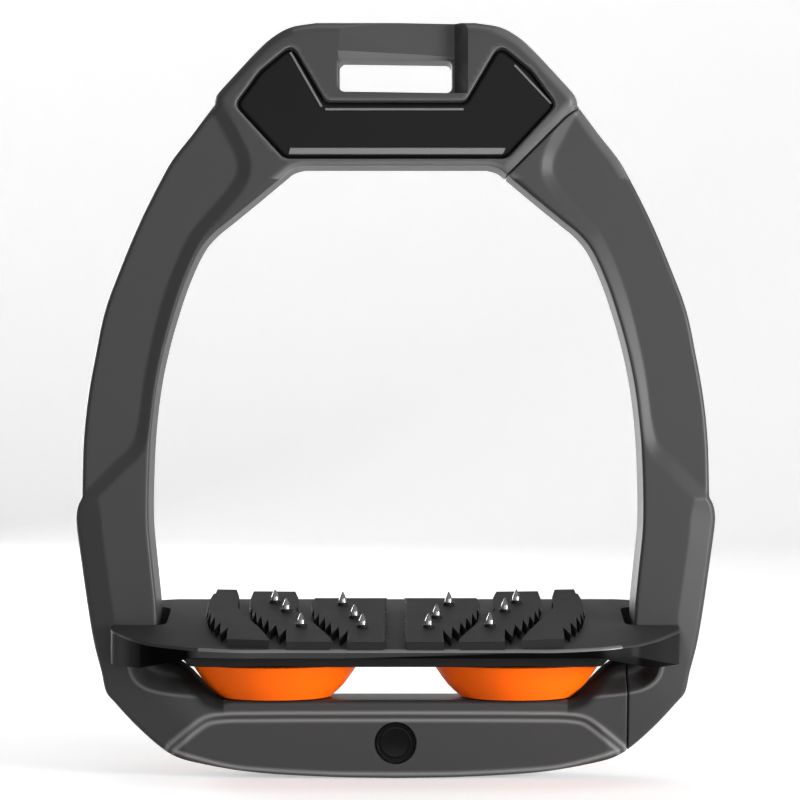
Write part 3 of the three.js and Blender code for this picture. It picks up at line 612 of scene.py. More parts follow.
# Seams of the release arm, in the front view
seamCorner = np.array([across(0.569), crownUp(0.426)])
diagonal = math.sqrt(0.5)
hingeSizes = {
    "inset": 5.0, "drop": 12.0, "pinRadius": 1.5, "pinGap": 0.25, "pinFront": -6.3, "tongueWidth": 8.0,
    "tongueRadius": 3.0, "tongueGap": 0.3, "reach": 6.0, "root": 5.0, "openAngle": 65.0, "openSteps": 6,
}


# A place by its distance along the diagonal seam from the outer corner, and its distance below the seam
def seamAt(along, drop):
    return seamCorner + diagonal * np.array([drop - along, -along - drop])


hingePoint = seamAt(hingeSizes["inset"], hingeSizes["drop"])


# A place relative to the hinge, in the seam's own directions
def fromHinge(inward, lower):
    return seamAt(hingeSizes["inset"] + inward, hingeSizes["drop"] + lower)


# Region of the release arm in the front view; a shift moves the seams towards it
def armZone(shift):
    radius = hingeSizes["drop"] - shift
    turns = np.linspace(0, math.pi / 4, 13)
    arc = [fromHinge(-radius * math.sin(a), -radius * math.cos(a)) for a in turns]
    bottom = frameSizes["bottomSeam"] + shift
    points = [seamAt(reliefSizes["seamLength"], shift)] + arc + [
        (farOut, arc[-1][1]), (farOut, -190.0), (bottom, -190.0), (bottom, down(0.9)), (39.6, down(0.9))]
    return np.array([np.asarray(p, float) for p in points])


upperSeam = np.concatenate([[seamAt(reliefSizes["seamLength"], 0)], armZone(0.0)[1:14]])
lowerSeam = np.array([(frameSizes["bottomSeam"], -190.0), (frameSizes["bottomSeam"], down(0.88))])
seamLines = [upperSeam, lowerSeam]


# A ramp from 1 at zero down to 0 at a width, with both creases rounded
def softRamp(s, width, crease):
    def bent(v):
        rounded = (v + crease)**2 / (4 * crease)
        return np.where(v > crease, v, np.where(v < -crease, 0.0, rounded))
    return 1 - (bent(s) - bent(s - width)) / width


# Depth of a quarter round at a distance from its edge
def quarterRound(d, radius):
    inward = np.clip(radius - d, 0, radius)
    return radius - np.sqrt(np.maximum(radius**2 - inward**2, 0))


# A low ridge along a line: height falls off with the square of the distance
def beadHeight(distance):
    return reliefSizes["bead"] * np.exp(-(distance / reliefSizes["beadHalf"])**2)


# Whether each point lies on the crown's side of the diagonal seam's line
def aboveSeam(points):
    return (points[:, 0] - seamCorner[0]) - (points[:, 1] - seamCorner[1]) < 0


# How deep the front or rear face lies under its level at each [x, z] point of the right half, or of the left
# half folded over it: the deepest of the reliefs, plus rounded edges, less the ridges of the base panel.
# Only the right half has the seams.
def faceDepth(points, rear, seams):
    r = reliefSizes
    crease = r["crease"]
    panel = signedDistance(points, panelLoop)
    depth = np.maximum.reduce([
        r["armDepth"] * softRamp(signedDistance(points, armReliefLoop), r["armBand"], crease),
        r["blockDepth"] * softRamp(signedDistance(points, blockLoop), r["blockBand"], crease),
        r["heelDepth"] * softRamp(signedDistance(points, heelLoop), r["heelBand"], r["heelCrease"]),
        r["panelDepth"] * softRamp(panel, r["panelBand"], r["panelCrease"]),
    ])
    foot = distanceTo(points, panelFoot, False)
    depth = depth - beadHeight(panel) - beadHeight(panel - r["panelBand"]) - beadHeight(foot)
    if not rear:
        scoop = -signedDistance(points, scoopLoop)
        share = np.clip(scoop / r["scoopBand"], 0, 1)
        depth = np.maximum(depth, r["scoopDepth"] * share**2 * (3 - 2 * share)) - beadHeight(scoop)
    if seams:
        for seam in seamLines:
            beside = distanceTo(points, seam, False)
            depth = depth + quarterRound(np.maximum(beside - frameSizes["seamGap"] / 2, 0), r["seamRound"])
        beside = distanceTo(points, upperSeam, False)
        share = np.clip(1 - beside / r["seamChamferWidth"], 0, 1) * aboveSeam(points)
        depth = depth + r["seamChamfer"] * share
    outer = distanceTo(points, outerHalfLine, False)
    low = np.clip((-172 - points[:, 1]) / 4, 0, 1)
    high = np.clip((points[:, 1] + 16) / 4, 0, 1)
    depth = depth + quarterRound(outer, r["outerRound"] + (r["bottomRound"] - r["outerRound"]) * low
                                 + (r["crownRound"] - r["outerRound"]) * high)
    inner = distanceTo(points, innerHalfLine, False)
    under = np.clip((points[:, 1] + 36) / 6, 0, 1)
    foot = np.clip((-148 - points[:, 1]) / 3, 0, 1) * np.clip((points[:, 0] - 41) / 4, 0, 1)
    more = (r["crownUnderRound"] - r["innerRound"]) * under
    radius = r["innerRound"] + more + (r["footRound"] - r["innerRound"]) * foot
    return depth + quarterRound(inner, radius)


# The frame is one closed ring. Stations run round it, rows run round its section: front, opening wall, rear,
# outer wall. In the front view a row is a share of the line from an outer to an inner point; faceDepth gives
# y. Pairs are such points, seamPairs the ones at a seam. Rows stand at set distances from the edges.
ringValues = {
    "step": 0.1, "station": 1.1, "fineStation": 0.55, "middleRows": 52, "wallRows": 5,
    "seamOffsets": [0.15, 0.28, 0.42, 0.6, 0.85, 1.2], "seamPairs": (3, 7),
    "outerRows": [0, 0.05, 0.15, 0.31, 0.52, 0.78, 1.05, 1.3, 1.6],
    "innerRows": [0, 0.05, 0.15, 0.3, 0.5, 0.76, 1.06, 1.5, 2.15],
    "pairs": [((0, 9.15), (0, -26.75)), ((17.6, 9.15), (17.6, -26.75)), ((36, -1), (24.2, -27)),
              ((46.35, -12.3), (27.9, -29.1)), ((75.1, -73.6), (57.7, -72.1)), ((79.3, -111), (61.7, -116)),
              ((73.7, -153.6), (59.05, -148.9)), ((58, -173), (58, -150.8)),
              ((43.2, -177.8), (43.2, -160.25)), ((0, -179.85), (0, -160.25))],
}


# Places of all rows at each station, in the front view
def ringPoints():
    v = ringValues
    outer, inner = evenly(outerHalfLine, v["step"]), evenly(innerHalfLine, v["step"])
    outerRun, innerRun = runAlong(outer), runAlong(inner)
    outerAt = [outerRun[np.linalg.norm(outer - p, axis=1).argmin()] for p, _ in v["pairs"]]
    innerAt = [innerRun[np.linalg.norm(inner - q, axis=1).argmin()] for _, q in v["pairs"]]
    x, z = outer[:, 0], outer[:, 1]
    busy = ((z < -152) & (x > 30)) | ((z < -96) & (z > -124)) | ((z < -11) & (z > -42))
    count = np.cumsum(np.where(busy, v["step"] / v["fineStation"], v["step"] / v["station"]))
    places = np.interp(np.linspace(count[0], count[-1], int(count[-1])), count, outerRun)
    offsets = np.array(v["seamOffsets"])
    for seam in [outerAt[pair] for pair in v["seamPairs"]]:
        places = places[np.abs(places - seam) > offsets[-1] + 0.3]
        places = np.concatenate([places, seam - offsets, seam + offsets])
    places = np.sort(places)
    start = pointsAt(outer, outerRun, places)
    end = pointsAt(inner, innerRun, np.interp(places, outerAt, innerAt))
    length = np.linalg.norm(end - start, axis=1)[:, None]
    near, far = np.array(v["outerRows"]), np.array(v["innerRows"])
    middle = np.linspace(0, 1, v["middleRows"] + 2)[None, 1:-1]
    first = near[None] / length
    last = 1 - far[None, ::-1] / length
    shares = np.concatenate([first, first[:, -1:] + (last[:, :1] - first[:, -1:]) * middle, last], 1)
    flat = start[:, None] + (end - start)[:, None] * shares[..., None]
    return np.minimum(flat, [frameSizes["outerHalf"], 100])


# The rows of one half as x, y, z: front, opening wall, rear, outer wall
def ringHalf(flat, seams):
    n, m = flat.shape[:2]
    halfDepth = frameSizes["halfDepth"]
    front = -halfDepth + faceDepth(flat.reshape(-1, 2), False, seams).reshape(n, m)
    rear = halfDepth - faceDepth(flat.reshape(-1, 2), True, seams).reshape(n, m)
    wall = np.linspace(0, 1, ringValues["wallRows"] + 2)[None, 1:-1]
    innerWall = front[:, -1:] + (rear[:, -1:] - front[:, -1:]) * wall
    outerWall = rear[:, :1] + (front[:, :1] - rear[:, :1]) * wall
    y = np.concatenate([front, innerWall, rear[:, ::-1], outerWall], 1)
    onInner = np.repeat(flat[:, -1:], ringValues["wallRows"], 1)
    onOuter = np.repeat(flat[:, :1], ringValues["wallRows"], 1)
    plan = np.concatenate([flat, onInner, flat[:, ::-1], onOuter], 1)
    return np.stack([plan[..., 0], y, plan[..., 1]], 2)


# Both halves joined into the closed ring; only the right one has the seams
def ringMesh():
    flat = ringPoints()
    right = ringHalf(flat, True)
    left = ringHalf(flat, False)[::-1][1:-1] * [-1, 1, 1]
    whole = np.concatenate([right, left])
    return whole.reshape(-1, 3), loopFaces(len(whole), whole.shape[1], True).tolist()


# A body along Y from an outline of [x, z] points: rows of [y, growth], where the growth may differ from point
# to point and moves each point outward
def flared(loop, rows, name="cutter", materials=()):
    outward = outwardNormals(loop)
    layers = []
    for y, growth in rows:
        moved = loop + outward * np.reshape(growth, (-1, 1))
        layers.append(np.stack([moved[:, 0], np.full(len(loop), y), moved[:, 1]], 1))
    return stacked(name, layers, materials)


# Closed loops of one length joined in order, with a flat face at each end
def stacked(name, layers, materials=(), smoothAngle=35.0, faceMaterial=None):
    count = len(layers[0])
    faces = loopFaces(len(layers), count).tolist()
    faces += [list(range(count))[::-1], [len(layers) * count - count + i for i in range(count)]]
    made = meshObject(name, np.concatenate(layers), faces, materials, faceMaterial, smoothAngle)
    for end in made.data.polygons[-2:]:
        end.use_smooth = False
    return made


# A tool from an outline of [x, z] points carried along Y, or of [x, y] points carried along Z
def extruded(outline, low, high, along="y"):
    outline = np.asarray(outline, float)
    layers = [np.insert(outline, 1 if along == "y" else 2, h, axis=1) for h in (low, high)]
    return stacked("cutter", layers)


# Round tool along an axis between two places, with a second radius for a taper
def roundTool(axis, radius, centre, start, end, farRadius=None, sides=48):
    profile = [[0, start], [radius, start], [farRadius or radius, end], [0, end]]
    spin = {"z": None, "y": [[1, 0, 0], [0, 0, 1], [0, -1, 0]], "x": [[0, 0, 1], [0, 1, 0], [-1, 0, 0]]}[axis]
    return turnedPiece("cutter", profile, centre, sides, [], spin)


# Points turned about a centre, clockwise in the front view
def turnedAbout(points, centre, angle):
    p = np.asarray(points, float) - centre
    c, s = math.cos(angle), math.sin(angle)
    return np.stack([p[:, 0] * c + p[:, 1] * s, -p[:, 0] * s + p[:, 1] * c], 1) + centre


# The frame's tongue in the arm's clevis: a half circle about the hinge, and a root inside the frame
def tongueOutline(grow):
    h = hingeSizes
    radius = h["tongueRadius"] + grow
    turns = np.linspace(0, math.pi, 17)
    near, far = -h["inset"] + 0.3 - grow, h["reach"] + grow
    bottom = -h["drop"] - h["root"]
    root = [(near, -h["drop"]), (near, bottom), (far, bottom), (far, -h["drop"] / 2)]
    arc = [(radius * math.cos(a), radius * math.sin(a)) for a in turns]
    return np.array([fromHinge(inward, lower) for inward, lower in arc + root])


def cut(piece, tool):
    cutOrJoin(piece, tool, "DIFFERENCE")


# How far a quarter round of a radius stands out at a depth
def flareAt(depth, radius):
    return radius - np.sqrt(np.maximum(radius**2 - np.maximum(radius - depth, 0)**2, 0))


# Rows for a pocket's tool, whose rim has a quarter round
def pocketRows():
    depth, radius = reliefSizes["pocketDepth"], reliefSizes["pocketRound"]
    face = -frameSizes["halfDepth"]
    rows = [(face - 2.0, radius)]
    for t in radius * (1 - np.cos(np.linspace(0, math.pi / 2, 7))):
        rows.append((face + t, flareAt(t, radius)))
    return rows + [(face + depth, 0.0)]


# The same rows for the rear face
def rearOf(rows):
    return [(-y, growth) for y, growth in rows]


# Rows for the slot's tool: quarter rounds at both rims, with the floor's radius where the outline faces down
def slotRows():
    s = slotSizes
    low = np.clip(-outwardNormals(slotLoop)[:, 1], 0, 1)**2
    radius = s["side"] + (s["floor"] - s["side"]) * low
    rows = [(-frameSizes["halfDepth"] - 2.0, radius)]
    for t in s["side"] * (1 - np.cos(np.linspace(0, math.pi / 2, 9))):
        rows.append((-frameSizes["halfDepth"] + t, flareAt(t, radius)))
    return rows + rearOf(rows)[::-1]


# A wedge that takes a flat chamfer off the slot's upper rim, from the channel's surface back to the slot's
# ceiling, narrowing along the channel
def chamferTool(turned):
    s = slotSizes
    face, half = -frameSizes["halfDepth"], s["half"]
    ends = ((-half, face, s["chamferLeft"], s["chamferLean"]),
            (half + s["channelShift"], face + s["channelDepth"], s["chamferRight"], 0))
    layers = []
    for x, surface, (height, run), lean in ends:
        top, low = height + 2 * height / run, -0.2 * height
        outside, deep = surface - 2, surface + run * 1.2
        layers.append(np.array([(x - lean, outside, top), (x, deep, low), (x, outside, low)]))
    if turned:
        layers = [layer * [-1, -1, 1] for layer in layers]
    return stacked("cutter", layers)


# The chamfer's faces get the paler rim colour as a painted highlight: those near the slot's upper rim whose
# normal points down and outward
def paleChamfer(ring):
    faces = ring.data.polygons
    values = np.empty((2, len(faces) * 3))
    faces.foreach_get("center", values[0])
    faces.foreach_get("normal", values[1])
    centre, normal = values[0].reshape(-1, 3) / mm, values[1].reshape(-1, 3)
    onRim = (np.abs(centre[:, 0]) < 15) * (centre[:, 2] > 0.05) * (centre[:, 2] < 2)
    leaning = (np.abs(normal[:, 1]) > 0.5) * (normal[:, 2] < -0.4) * (np.abs(normal[:, 0]) < 0.4)
    faces.foreach_set("material_index", (onRim * leaning).astype(np.int32))


# The strap channel's plan: a wedge open to the front, or turned half round to the rear
def channelLoop(turned):
    s = slotSizes
    half, face = s["half"], -frameSizes["halfDepth"]
    end = half + s["channelShift"]
    far, floor = end + s["wallRun"], face + s["channelDepth"]
    loop = np.array([(-half, face - 2), (-half, face), (end, floor), (far, face), (far, face - 2)])
    return -loop if turned else loop


# Painted highlights in lines and bands, and painted shade in the foot's throat: each has its strength, then a
# line's half width or a band's reach, in mm
highlightAndShadeValues = {
    "lineHalf": 0.33, "scoop": 0.5, "insertRim": 0.6, "insertReach": 0.7, "insertDepth": 0.15,
    "insertHalf": 0.14, "under": 0.6, "underReach": 1.7, "lip": 0.3, "lipAt": 1.1, "lipHalf": 0.5,
    "lipFrom": -26.0, "shoulder": 0.3, "shoulderReach": 2.6, "shoulderFrom": 22.0, "seam": 0.35, "seamReach": 3.0,
    "throatBelow": -149.5, "throatFrom": 43.0, "throatReach": 2.2, "throatFade": 1.6, "deepest": 2.5,
}


# Places of a mesh's points
def pointsOf(mesh):
    points = np.empty(len(mesh.vertices) * 3)
    mesh.vertices.foreach_get("co", points)
    return points.reshape(-1, 3)


# 1 on a line, falling off with the square of the distance
def lineValue(distance, half):
    return np.exp(-(distance / half)**2)


# Two values at each vertex: a painted highlight, 1 on pale lines, edges and bands where light would catch, and
# a painted shade, 1 in the foot's throat where the tread shades it
def markRidges(piece):
    v = highlightAndShadeValues
    mesh = piece.data
    points = pointsOf(mesh) / mm
    spots = np.stack([np.abs(points[:, 0]), points[:, 2]], 1)
    sunk = 10 - np.abs(points[:, 1])
    ridge, hollow = np.zeros(len(points)), np.zeros(len(points))
    near = np.flatnonzero(points[:, 2] < -140)
    low = spots[near]
    # Pale lines along the panel's edges and the scoop's edge: painted highlights
    panel = signedDistance(low, panelLoop)
    foot = distanceTo(low, panelFoot, False)
    line = np.min([np.abs(panel), np.abs(panel - reliefSizes["panelBand"]), foot], axis=0) * 0.75
    edge = np.abs(signedDistance(low, scoopLoop)) + 10 * (points[near, 1] > 0)
    lines = np.maximum(lineValue(line, v["lineHalf"]), v["scoop"] * lineValue(edge, v["lineHalf"]))
    ridge[near] = lines * (sunk[near] < 3)
    # Painted shade in the throat of the foot, where the tread shades it
    inner = distanceTo(low, innerHalfLine, False)
    throat = (low[:, 1] < v["throatBelow"]) * (low[:, 0] > v["throatFrom"]) * (points[near, 1] < 9)
    hollow[near] = throat * np.clip(v["throatReach"] - inner / v["throatFade"], 0, 1)
    near = np.flatnonzero(points[:, 2] > -30)
    top, topSunk = spots[near], sunk[near]
    # A pale line round the insert pocket's rim: a painted highlight
    rim = np.abs(signedDistance(top, insertOutline(reliefSizes["pocketGap"]))) < v["insertReach"]
    edge = v["insertRim"] * rim * lineValue(topSunk - v["insertDepth"], v["insertHalf"])
    # A pale band under the crown, where the floor's light would fall: a painted highlight
    under = distanceTo(top, innerHalfLine, False)
    band = v["under"] * np.clip(v["underReach"] - under, 0, 1) * (topSunk < v["deepest"])
    # Pale lines and bands on the crown's edge, shoulder and seam, mostly on the right of each face: painted
    # highlights
    outer = distanceTo(top, outerHalfLine, False)
    frontRight = points[near, 0] * -np.sign(points[near, 1])
    lip = v["lip"] * lineValue(outer - v["lipAt"], v["lipHalf"]) * (frontRight > v["lipFrom"])
    inShoulder = np.clip((frontRight - v["shoulderFrom"]) / 4, 0, 1)
    shoulder = v["shoulder"] * np.clip(v["shoulderReach"] - outer, 0, 1) * inShoulder
    beside = distanceTo(top, upperSeam, False)
    seam = v["seam"] * np.clip(v["seamReach"] - beside, 0, 1) * aboveSeam(top) * (points[near, 0] > 0)
    crown = np.maximum.reduce([lip, shoulder, seam]) * (topSunk < v["deepest"])
    ridge[near] = np.maximum.reduce([edge, band, crown])
    for name, value in (("ridge", ridge), ("hollow", hollow)):
        mesh.attributes.new(name, "FLOAT", "POINT").data.foreach_set("value", value)


def buildFrameAndArm():
    vertices, faces = ringMesh()
    ring = meshObject("stirrupFrame", vertices, faces, [framePlastic, treadRimHighlight])
    arm = meshObject("releaseArm", vertices, faces, [framePlastic])
    gap = frameSizes["seamGap"] / 2
    cut(ring, extruded(armZone(-gap), -14, 14))
    cutOrJoin(arm, extruded(armZone(gap), -14, 14), "INTERSECT")
    cut(ring, flared(slotLoop, slotRows()))
    for turned in (False, True):
        cut(ring, extruded(channelLoop(turned), slotSizes["channelFloor"], 12, "z"))
        cut(ring, chamferTool(turned))
    for rows in (pocketRows(), rearOf(pocketRows())):
        cut(ring, flared(insertOutline(reliefSizes["pocketGap"]), rows))
    h = hingeSizes
    half = h["tongueWidth"] / 2
    cutOrJoin(ring, extruded(tongueOutline(0), -half, half), "UNION")
    half += h["tongueGap"]
    for angle in np.linspace(0, h["openAngle"], h["openSteps"]):
        swept = turnedAbout(tongueOutline(h["tongueGap"]), hingePoint, math.radians(angle))
        cut(arm, extruded(swept, -half, half))
    for piece, front in ((ring, -14), (arm, h["pinFront"])):
        cut(piece, roundTool("y", h["pinRadius"] + h["pinGap"], (hingePoint[0], 0, hingePoint[1]), front, 14))
    b = baseSizes
    badge = (badgeCentre[0], 0, badgeCentre[1])
    cut(ring, roundTool("y", b["badgeBore"], badge, -13, b["badgeFloor"], sides=64))
    for x in (-b["springAt"], b["springAt"]):
        cut(ring, roundTool("z", b["boreRadius"], (x, 0, 0), -168.0, -158.0))
        cut(ring, roundTool("z", b["counterbore"] / 2, (x, 0, 0), -184.0, b["webBottom"]))
        shifted = x + math.copysign(springSizes["outward"], x)
        cut(ring, turnedPiece("cutter", springProfile(0.25, True), (shifted, 0, 0), 64, []))
    peg, magnet = (0, 0, b["pegHeight"]), (0, 0, b["magnetHeight"])
    cutOrJoin(ring, roundTool("x", b["pegRadius"], peg, 55.6, 60.4, b["pegTip"], 24), "UNION")
    cut(arm, roundTool("x", b["pegHole"], peg, 56.0, 61.0, sides=32))
    cut(ring, roundTool("x", b["magnetBore"], magnet, 55.05, 60.0))
    cut(arm, roundTool("x", b["magnetBore"], magnet, 56.0, 60.95))
    paleChamfer(ring)
    markRidges(ring)
    markRidges(arm)
    dress(ring, "stirrup_frame", ["frame"])
    dress(arm, "swing_arm", ["release_arm"])


# Every piece of the scene hides the CAD nodes that it stands for and moves with its body
def dress(piece, body, nodes):
    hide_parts(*nodes)
    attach(piece, body)


baseSizes = {
    "springAt": 30.1, "boreRadius": 4.3, "counterbore": 10.0, "webBottom": -166.25,
    "magnetHeight": -164.25, "magnetBore": 4.25, "pegHeight": -156.65, "pegRadius": 1.5, "pegTip": 1.0,
    "pegHole": 2.1, "badgeBore": 5.3, "badgeFloor": -7.0,
}
springSizes = {
    "foot": -159.95, "top": -151.35, "footRadius": 13.8, "topRadius": 21.0, "bore": 3.2,
    "shares": [(0.03, 0), (0.07, 0.012), (0.1, 0.045), (0.3, 0.19), (0.477, 0.337), (0.7, 0.58), (0.9, 0.83),
               (0.97, 0.925), (1, 0.965), (1.01, 0.98), (1.005, 0.992), (0.985, 1)],
    "outward": 0.35,
}


# A spring's side from foot to top; shares are [out, up]
def springProfile(grow, closed):
    s = springSizes
    spread = s["topRadius"] - s["footRadius"]
    height = s["top"] - s["foot"]
    rim = [[s["footRadius"] + spread * out + grow, s["foot"] + height * up] for out, up in s["shares"]]
    if closed:
        return [[0, s["foot"]]] + rim + [[0, s["top"]]]
    bore = s["bore"]
    return [[bore, s["foot"]]] + rim + [[bore, s["top"]], [bore, s["foot"] + height * 0.5]]


def buildSprings():
    for side, x in (("left", -baseSizes["springAt"]), ("right", baseSizes["springAt"])):
        shifted = x + math.copysign(springSizes["outward"], x)
        spring = turnedRing(side + "Spring", springProfile(0, False), (shifted, 0, 0), 96, [elastomer])
        dress(spring, "stirrup_frame", [side + "_elastomer_spring"])
        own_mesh(spring)


# Crown insert: a gloss plate in a pocket, with raised bars and a shelf, their paler grey a painted highlight;
# each bar is [start, end, width]
insertValues = {
    "face": -8.75, "back": -8.0, "bevel": 0.6, "bevelRun": 1.0, "barFace": -9.05, "barBevel": 0.12,
    "shelfBevel": 0.2,
    "bars": [((-26.3, 1.7), (-18.55, -11.9), 0.6), ((-17.6, -12.55), (17.0, -12.55), 0.6),
             ((29.75, -1.5), (38.85, -11.1), 0.55)],
    "shelf": [(-26.35, -22.15), (27.4, -22.15), (27.15, -23.3), (26.5, -23.85), (-26.7, -23.85)],
}


# A plate along Y whose front edge is a quarter ellipse: bevel deep and run wide
def plateAlongY(name, outline, face, back, bevel, run, steps, material):
    turns = np.linspace(0, math.pi / 2, steps)
    rows = [(face + bevel * (1 - math.sin(a)), -run * (1 - math.cos(a))) for a in turns]
    return flared(np.asarray(outline, float), [(back, 0.0)] + rows, name, [material])


# A rectangle of a width about a line
def barOutline(start, end, width):
    start, end = np.array(start, float), np.array(end, float)
    along = (end - start) / np.linalg.norm(end - start)
    beside = np.array([-along[1], along[0]]) * width / 2
    return np.array([start - beside, end - beside, end + beside, start + beside])


# Several objects made one, with the first one's name
def joined(name, pieces):
    first = pieces[0]
    with bpy.context.temp_override(active_object=first, object=first, selected_objects=pieces,
                                   selected_editable_objects=pieces):
        bpy.ops.object.join()
    first.name = name
    first.data.name = name
    return first


def buildInsert(name, node, rear):
    v = insertValues
    raised = [(barOutline(*bar), v["barBevel"]) for bar in v["bars"]] + [(v["shelf"], v["shelfBevel"])]
    outline = insertOutline(0.0)
    pieces = [plateAlongY(name, outline, v["face"], v["back"], v["bevel"], v["bevelRun"], 6, glossPlastic)]
    for outline, bevel in raised:
        pieces.append(plateAlongY("bar", outline, v["barFace"], v["face"] + 0.1, bevel, bevel, 3, barHighlightPlastic))
    piece = joined(name, pieces)
    if rear:
        points = pointsOf(piece.data) * [-1, -1, 1]
        piece.data.vertices.foreach_set("co", points.ravel())
        piece.data.update()
    dress(piece, "stirrup_frame", [node])


# Badge: a dished disc with a plain raised ring; [radius, height above its seat]
badgeValues = {
    "seat": -7.3,
    "profile": [(0, 0), (4.6, 0), (5.0, 0.2), (5.0, 1.2), (4.93, 1.38), (4.75, 1.45), (4.5, 1.42),
                (4.35, 1.3), (4.0, 1.28), (3.92, 1.42), (3.6, 1.45), (3.5, 1.3), (3.3, 1.27), (0, 1.2)],
}


def buildBadge():
    towardsFront = [[1, 0, 0], [0, 0, -1], [0, 1, 0]]
    centre = (badgeCentre[0], badgeValues["seat"], badgeCentre[1])
    disc = turnedPiece("badgeDisc", badgeValues["profile"], centre, 96, [glossPlastic], towardsFront, 25)
    dress(disc, "stirrup_frame", ["badge_disc"])


# Tread: its plan outline in steps down from the leaning top, with a rounded upper edge. Plan points are
# shares of half the width and of the depth. Its prongs reach past the slots that the arms stand in.
treadSizes = {
    "width": 141.6, "front": -39.0, "depth": 60.0, "tilt": math.radians(8.4), "centre": -139.85,
    "round": 0.65, "low": -154.0, "lipBottom": -147.5, "prongBottom": -150.65, "rampInset": 48.5,
    "ramp": 14.5, "slotHalf": 10.75, "slotInset": 57.3, "slotRound": 3.2, "wall": 2.6, "skin": 2.6,
    "postRadius": 3.3, "postBore": 1.6, "rimHalf": 51.3, "rimMiddle": 3.4, "planStep": 0.8, "postHalf": 44.4,
    "postFront": -14.2, "postRear": 13.1,
    "plan": [(0.55, 0.012), (0.7, 0.05), (0.77, 0.087), (0.835, 0.125), (0.865, 0.155), (0.915, 0.225),
             (0.965, 0.32), (0.993, 0.375), (1, 0.42), (1, 0.56), (0.99, 0.66), (0.97, 0.75), (0.95, 0.83),
             (0.92, 0.92), (0.86, 0.98), (0.8, 1)],
}


# Height of the leaning top at a depth y
def treadTopAt(y):
    return treadSizes["centre"] + y * math.tan(treadSizes["tilt"])


# The plan's front and sides as one curve, its rear as a straight line
def treadPlan():
    t = treadSizes
    points = [(x * t["width"] / 2, t["front"] + y * t["depth"]) for x, y in t["plan"]]
    edge = points[0][1]
    frontRun = [(0, edge), (16, edge), (30, edge)] + points
    return mirroredHalf(joinedRuns([frontRun, [points[-1], (0, points[-1][1])]], t["planStep"]))


def buildTread():
    t = treadSizes
    plan = treadPlan()
    outward = outwardNormals(plan)
    layers = []
    for a in np.linspace(0, math.pi / 2, 6):
        moved = plan - outward * t["round"] * (1 - math.sin(a))
        drop = t["round"] * (1 - math.cos(a))
        layers.append(np.column_stack([moved, treadTopAt(moved[:, 1]) - drop]))
    layers.append(np.column_stack([plan, np.full(len(plan), t["low"])]))
    count = len(plan)
    # The front stretch of the rounded upper edge takes the paler rim colour, a painted highlight
    highlightedFront = (np.abs(plan[:, 0] - t["rimMiddle"]) < t["rimHalf"]) & (plan[:, 1] < -20)
    rounding = np.tile(np.where(highlightedFront, 1, 0), len(layers) - 2)
    faceMaterial = np.concatenate([rounding, np.full(count, 2), [0, 0]])
    materials = [treadPlastic, treadRimHighlight, treadWallPaintedReflection]
    tread = stacked("treadPlate", layers, materials, 35.0, faceMaterial)
    end = t["rampInset"] + t["ramp"]
    ramp = np.array([(0, t["lipBottom"]), (t["rampInset"], t["lipBottom"]), (end, t["prongBottom"]),
                     (90, t["prongBottom"]), (90, -156)])
    cut(tread, extruded(np.concatenate([ramp, (ramp * [-1, 1])[::-1]]), -45, 30))
    half = t["slotInset"] - t["wall"]
    back = t["front"] + t["depth"] - t["wall"]
    front = t["front"] + t["wall"]
    skinned = t["skin"] / math.cos(t["tilt"])
    shoulder = t["front"] * 0.78
    plan = np.array([(-half * 0.6, front), (half * 0.6, front), (half, shoulder), (half, back), (-half, back),
                     (-half, shoulder)])
    heights = (np.full(len(plan), -156.0), treadTopAt(plan[:, 1]) - skinned)
    cut(tread, stacked("cutter", [np.column_stack([plan, height]) for height in heights]))
    s = t["slotHalf"]
    slot = roundedBox(t["slotInset"], 95, -s, s, t["slotRound"], 8)
    for side in (1, -1):
        cut(tread, extruded(slot * [side, 1], -160, -120, "z"))
    cut(tread, extruded([(-90, -s), (90, -s), (90, s), (-90, s)], -156, t["lipBottom"], "z"))
    for x, y in postPlaces():
        post = roundTool("z", t["postRadius"], (x, y, 0), -148.35, treadTopAt(y) - 1.3)
        cutOrJoin(tread, post, "UNION")
        cut(tread, roundTool("z", t["postBore"], (x, y, 0), -152, -143.3, sides=24))
    dress(tread, "tread", ["tread_plate"])


# Places of the four screws, and of the posts that they go into
def postPlaces():
    t = treadSizes
    return [(x * t["postHalf"], y) for x in (-1, 1) for y in (t["postFront"], t["postRear"])]


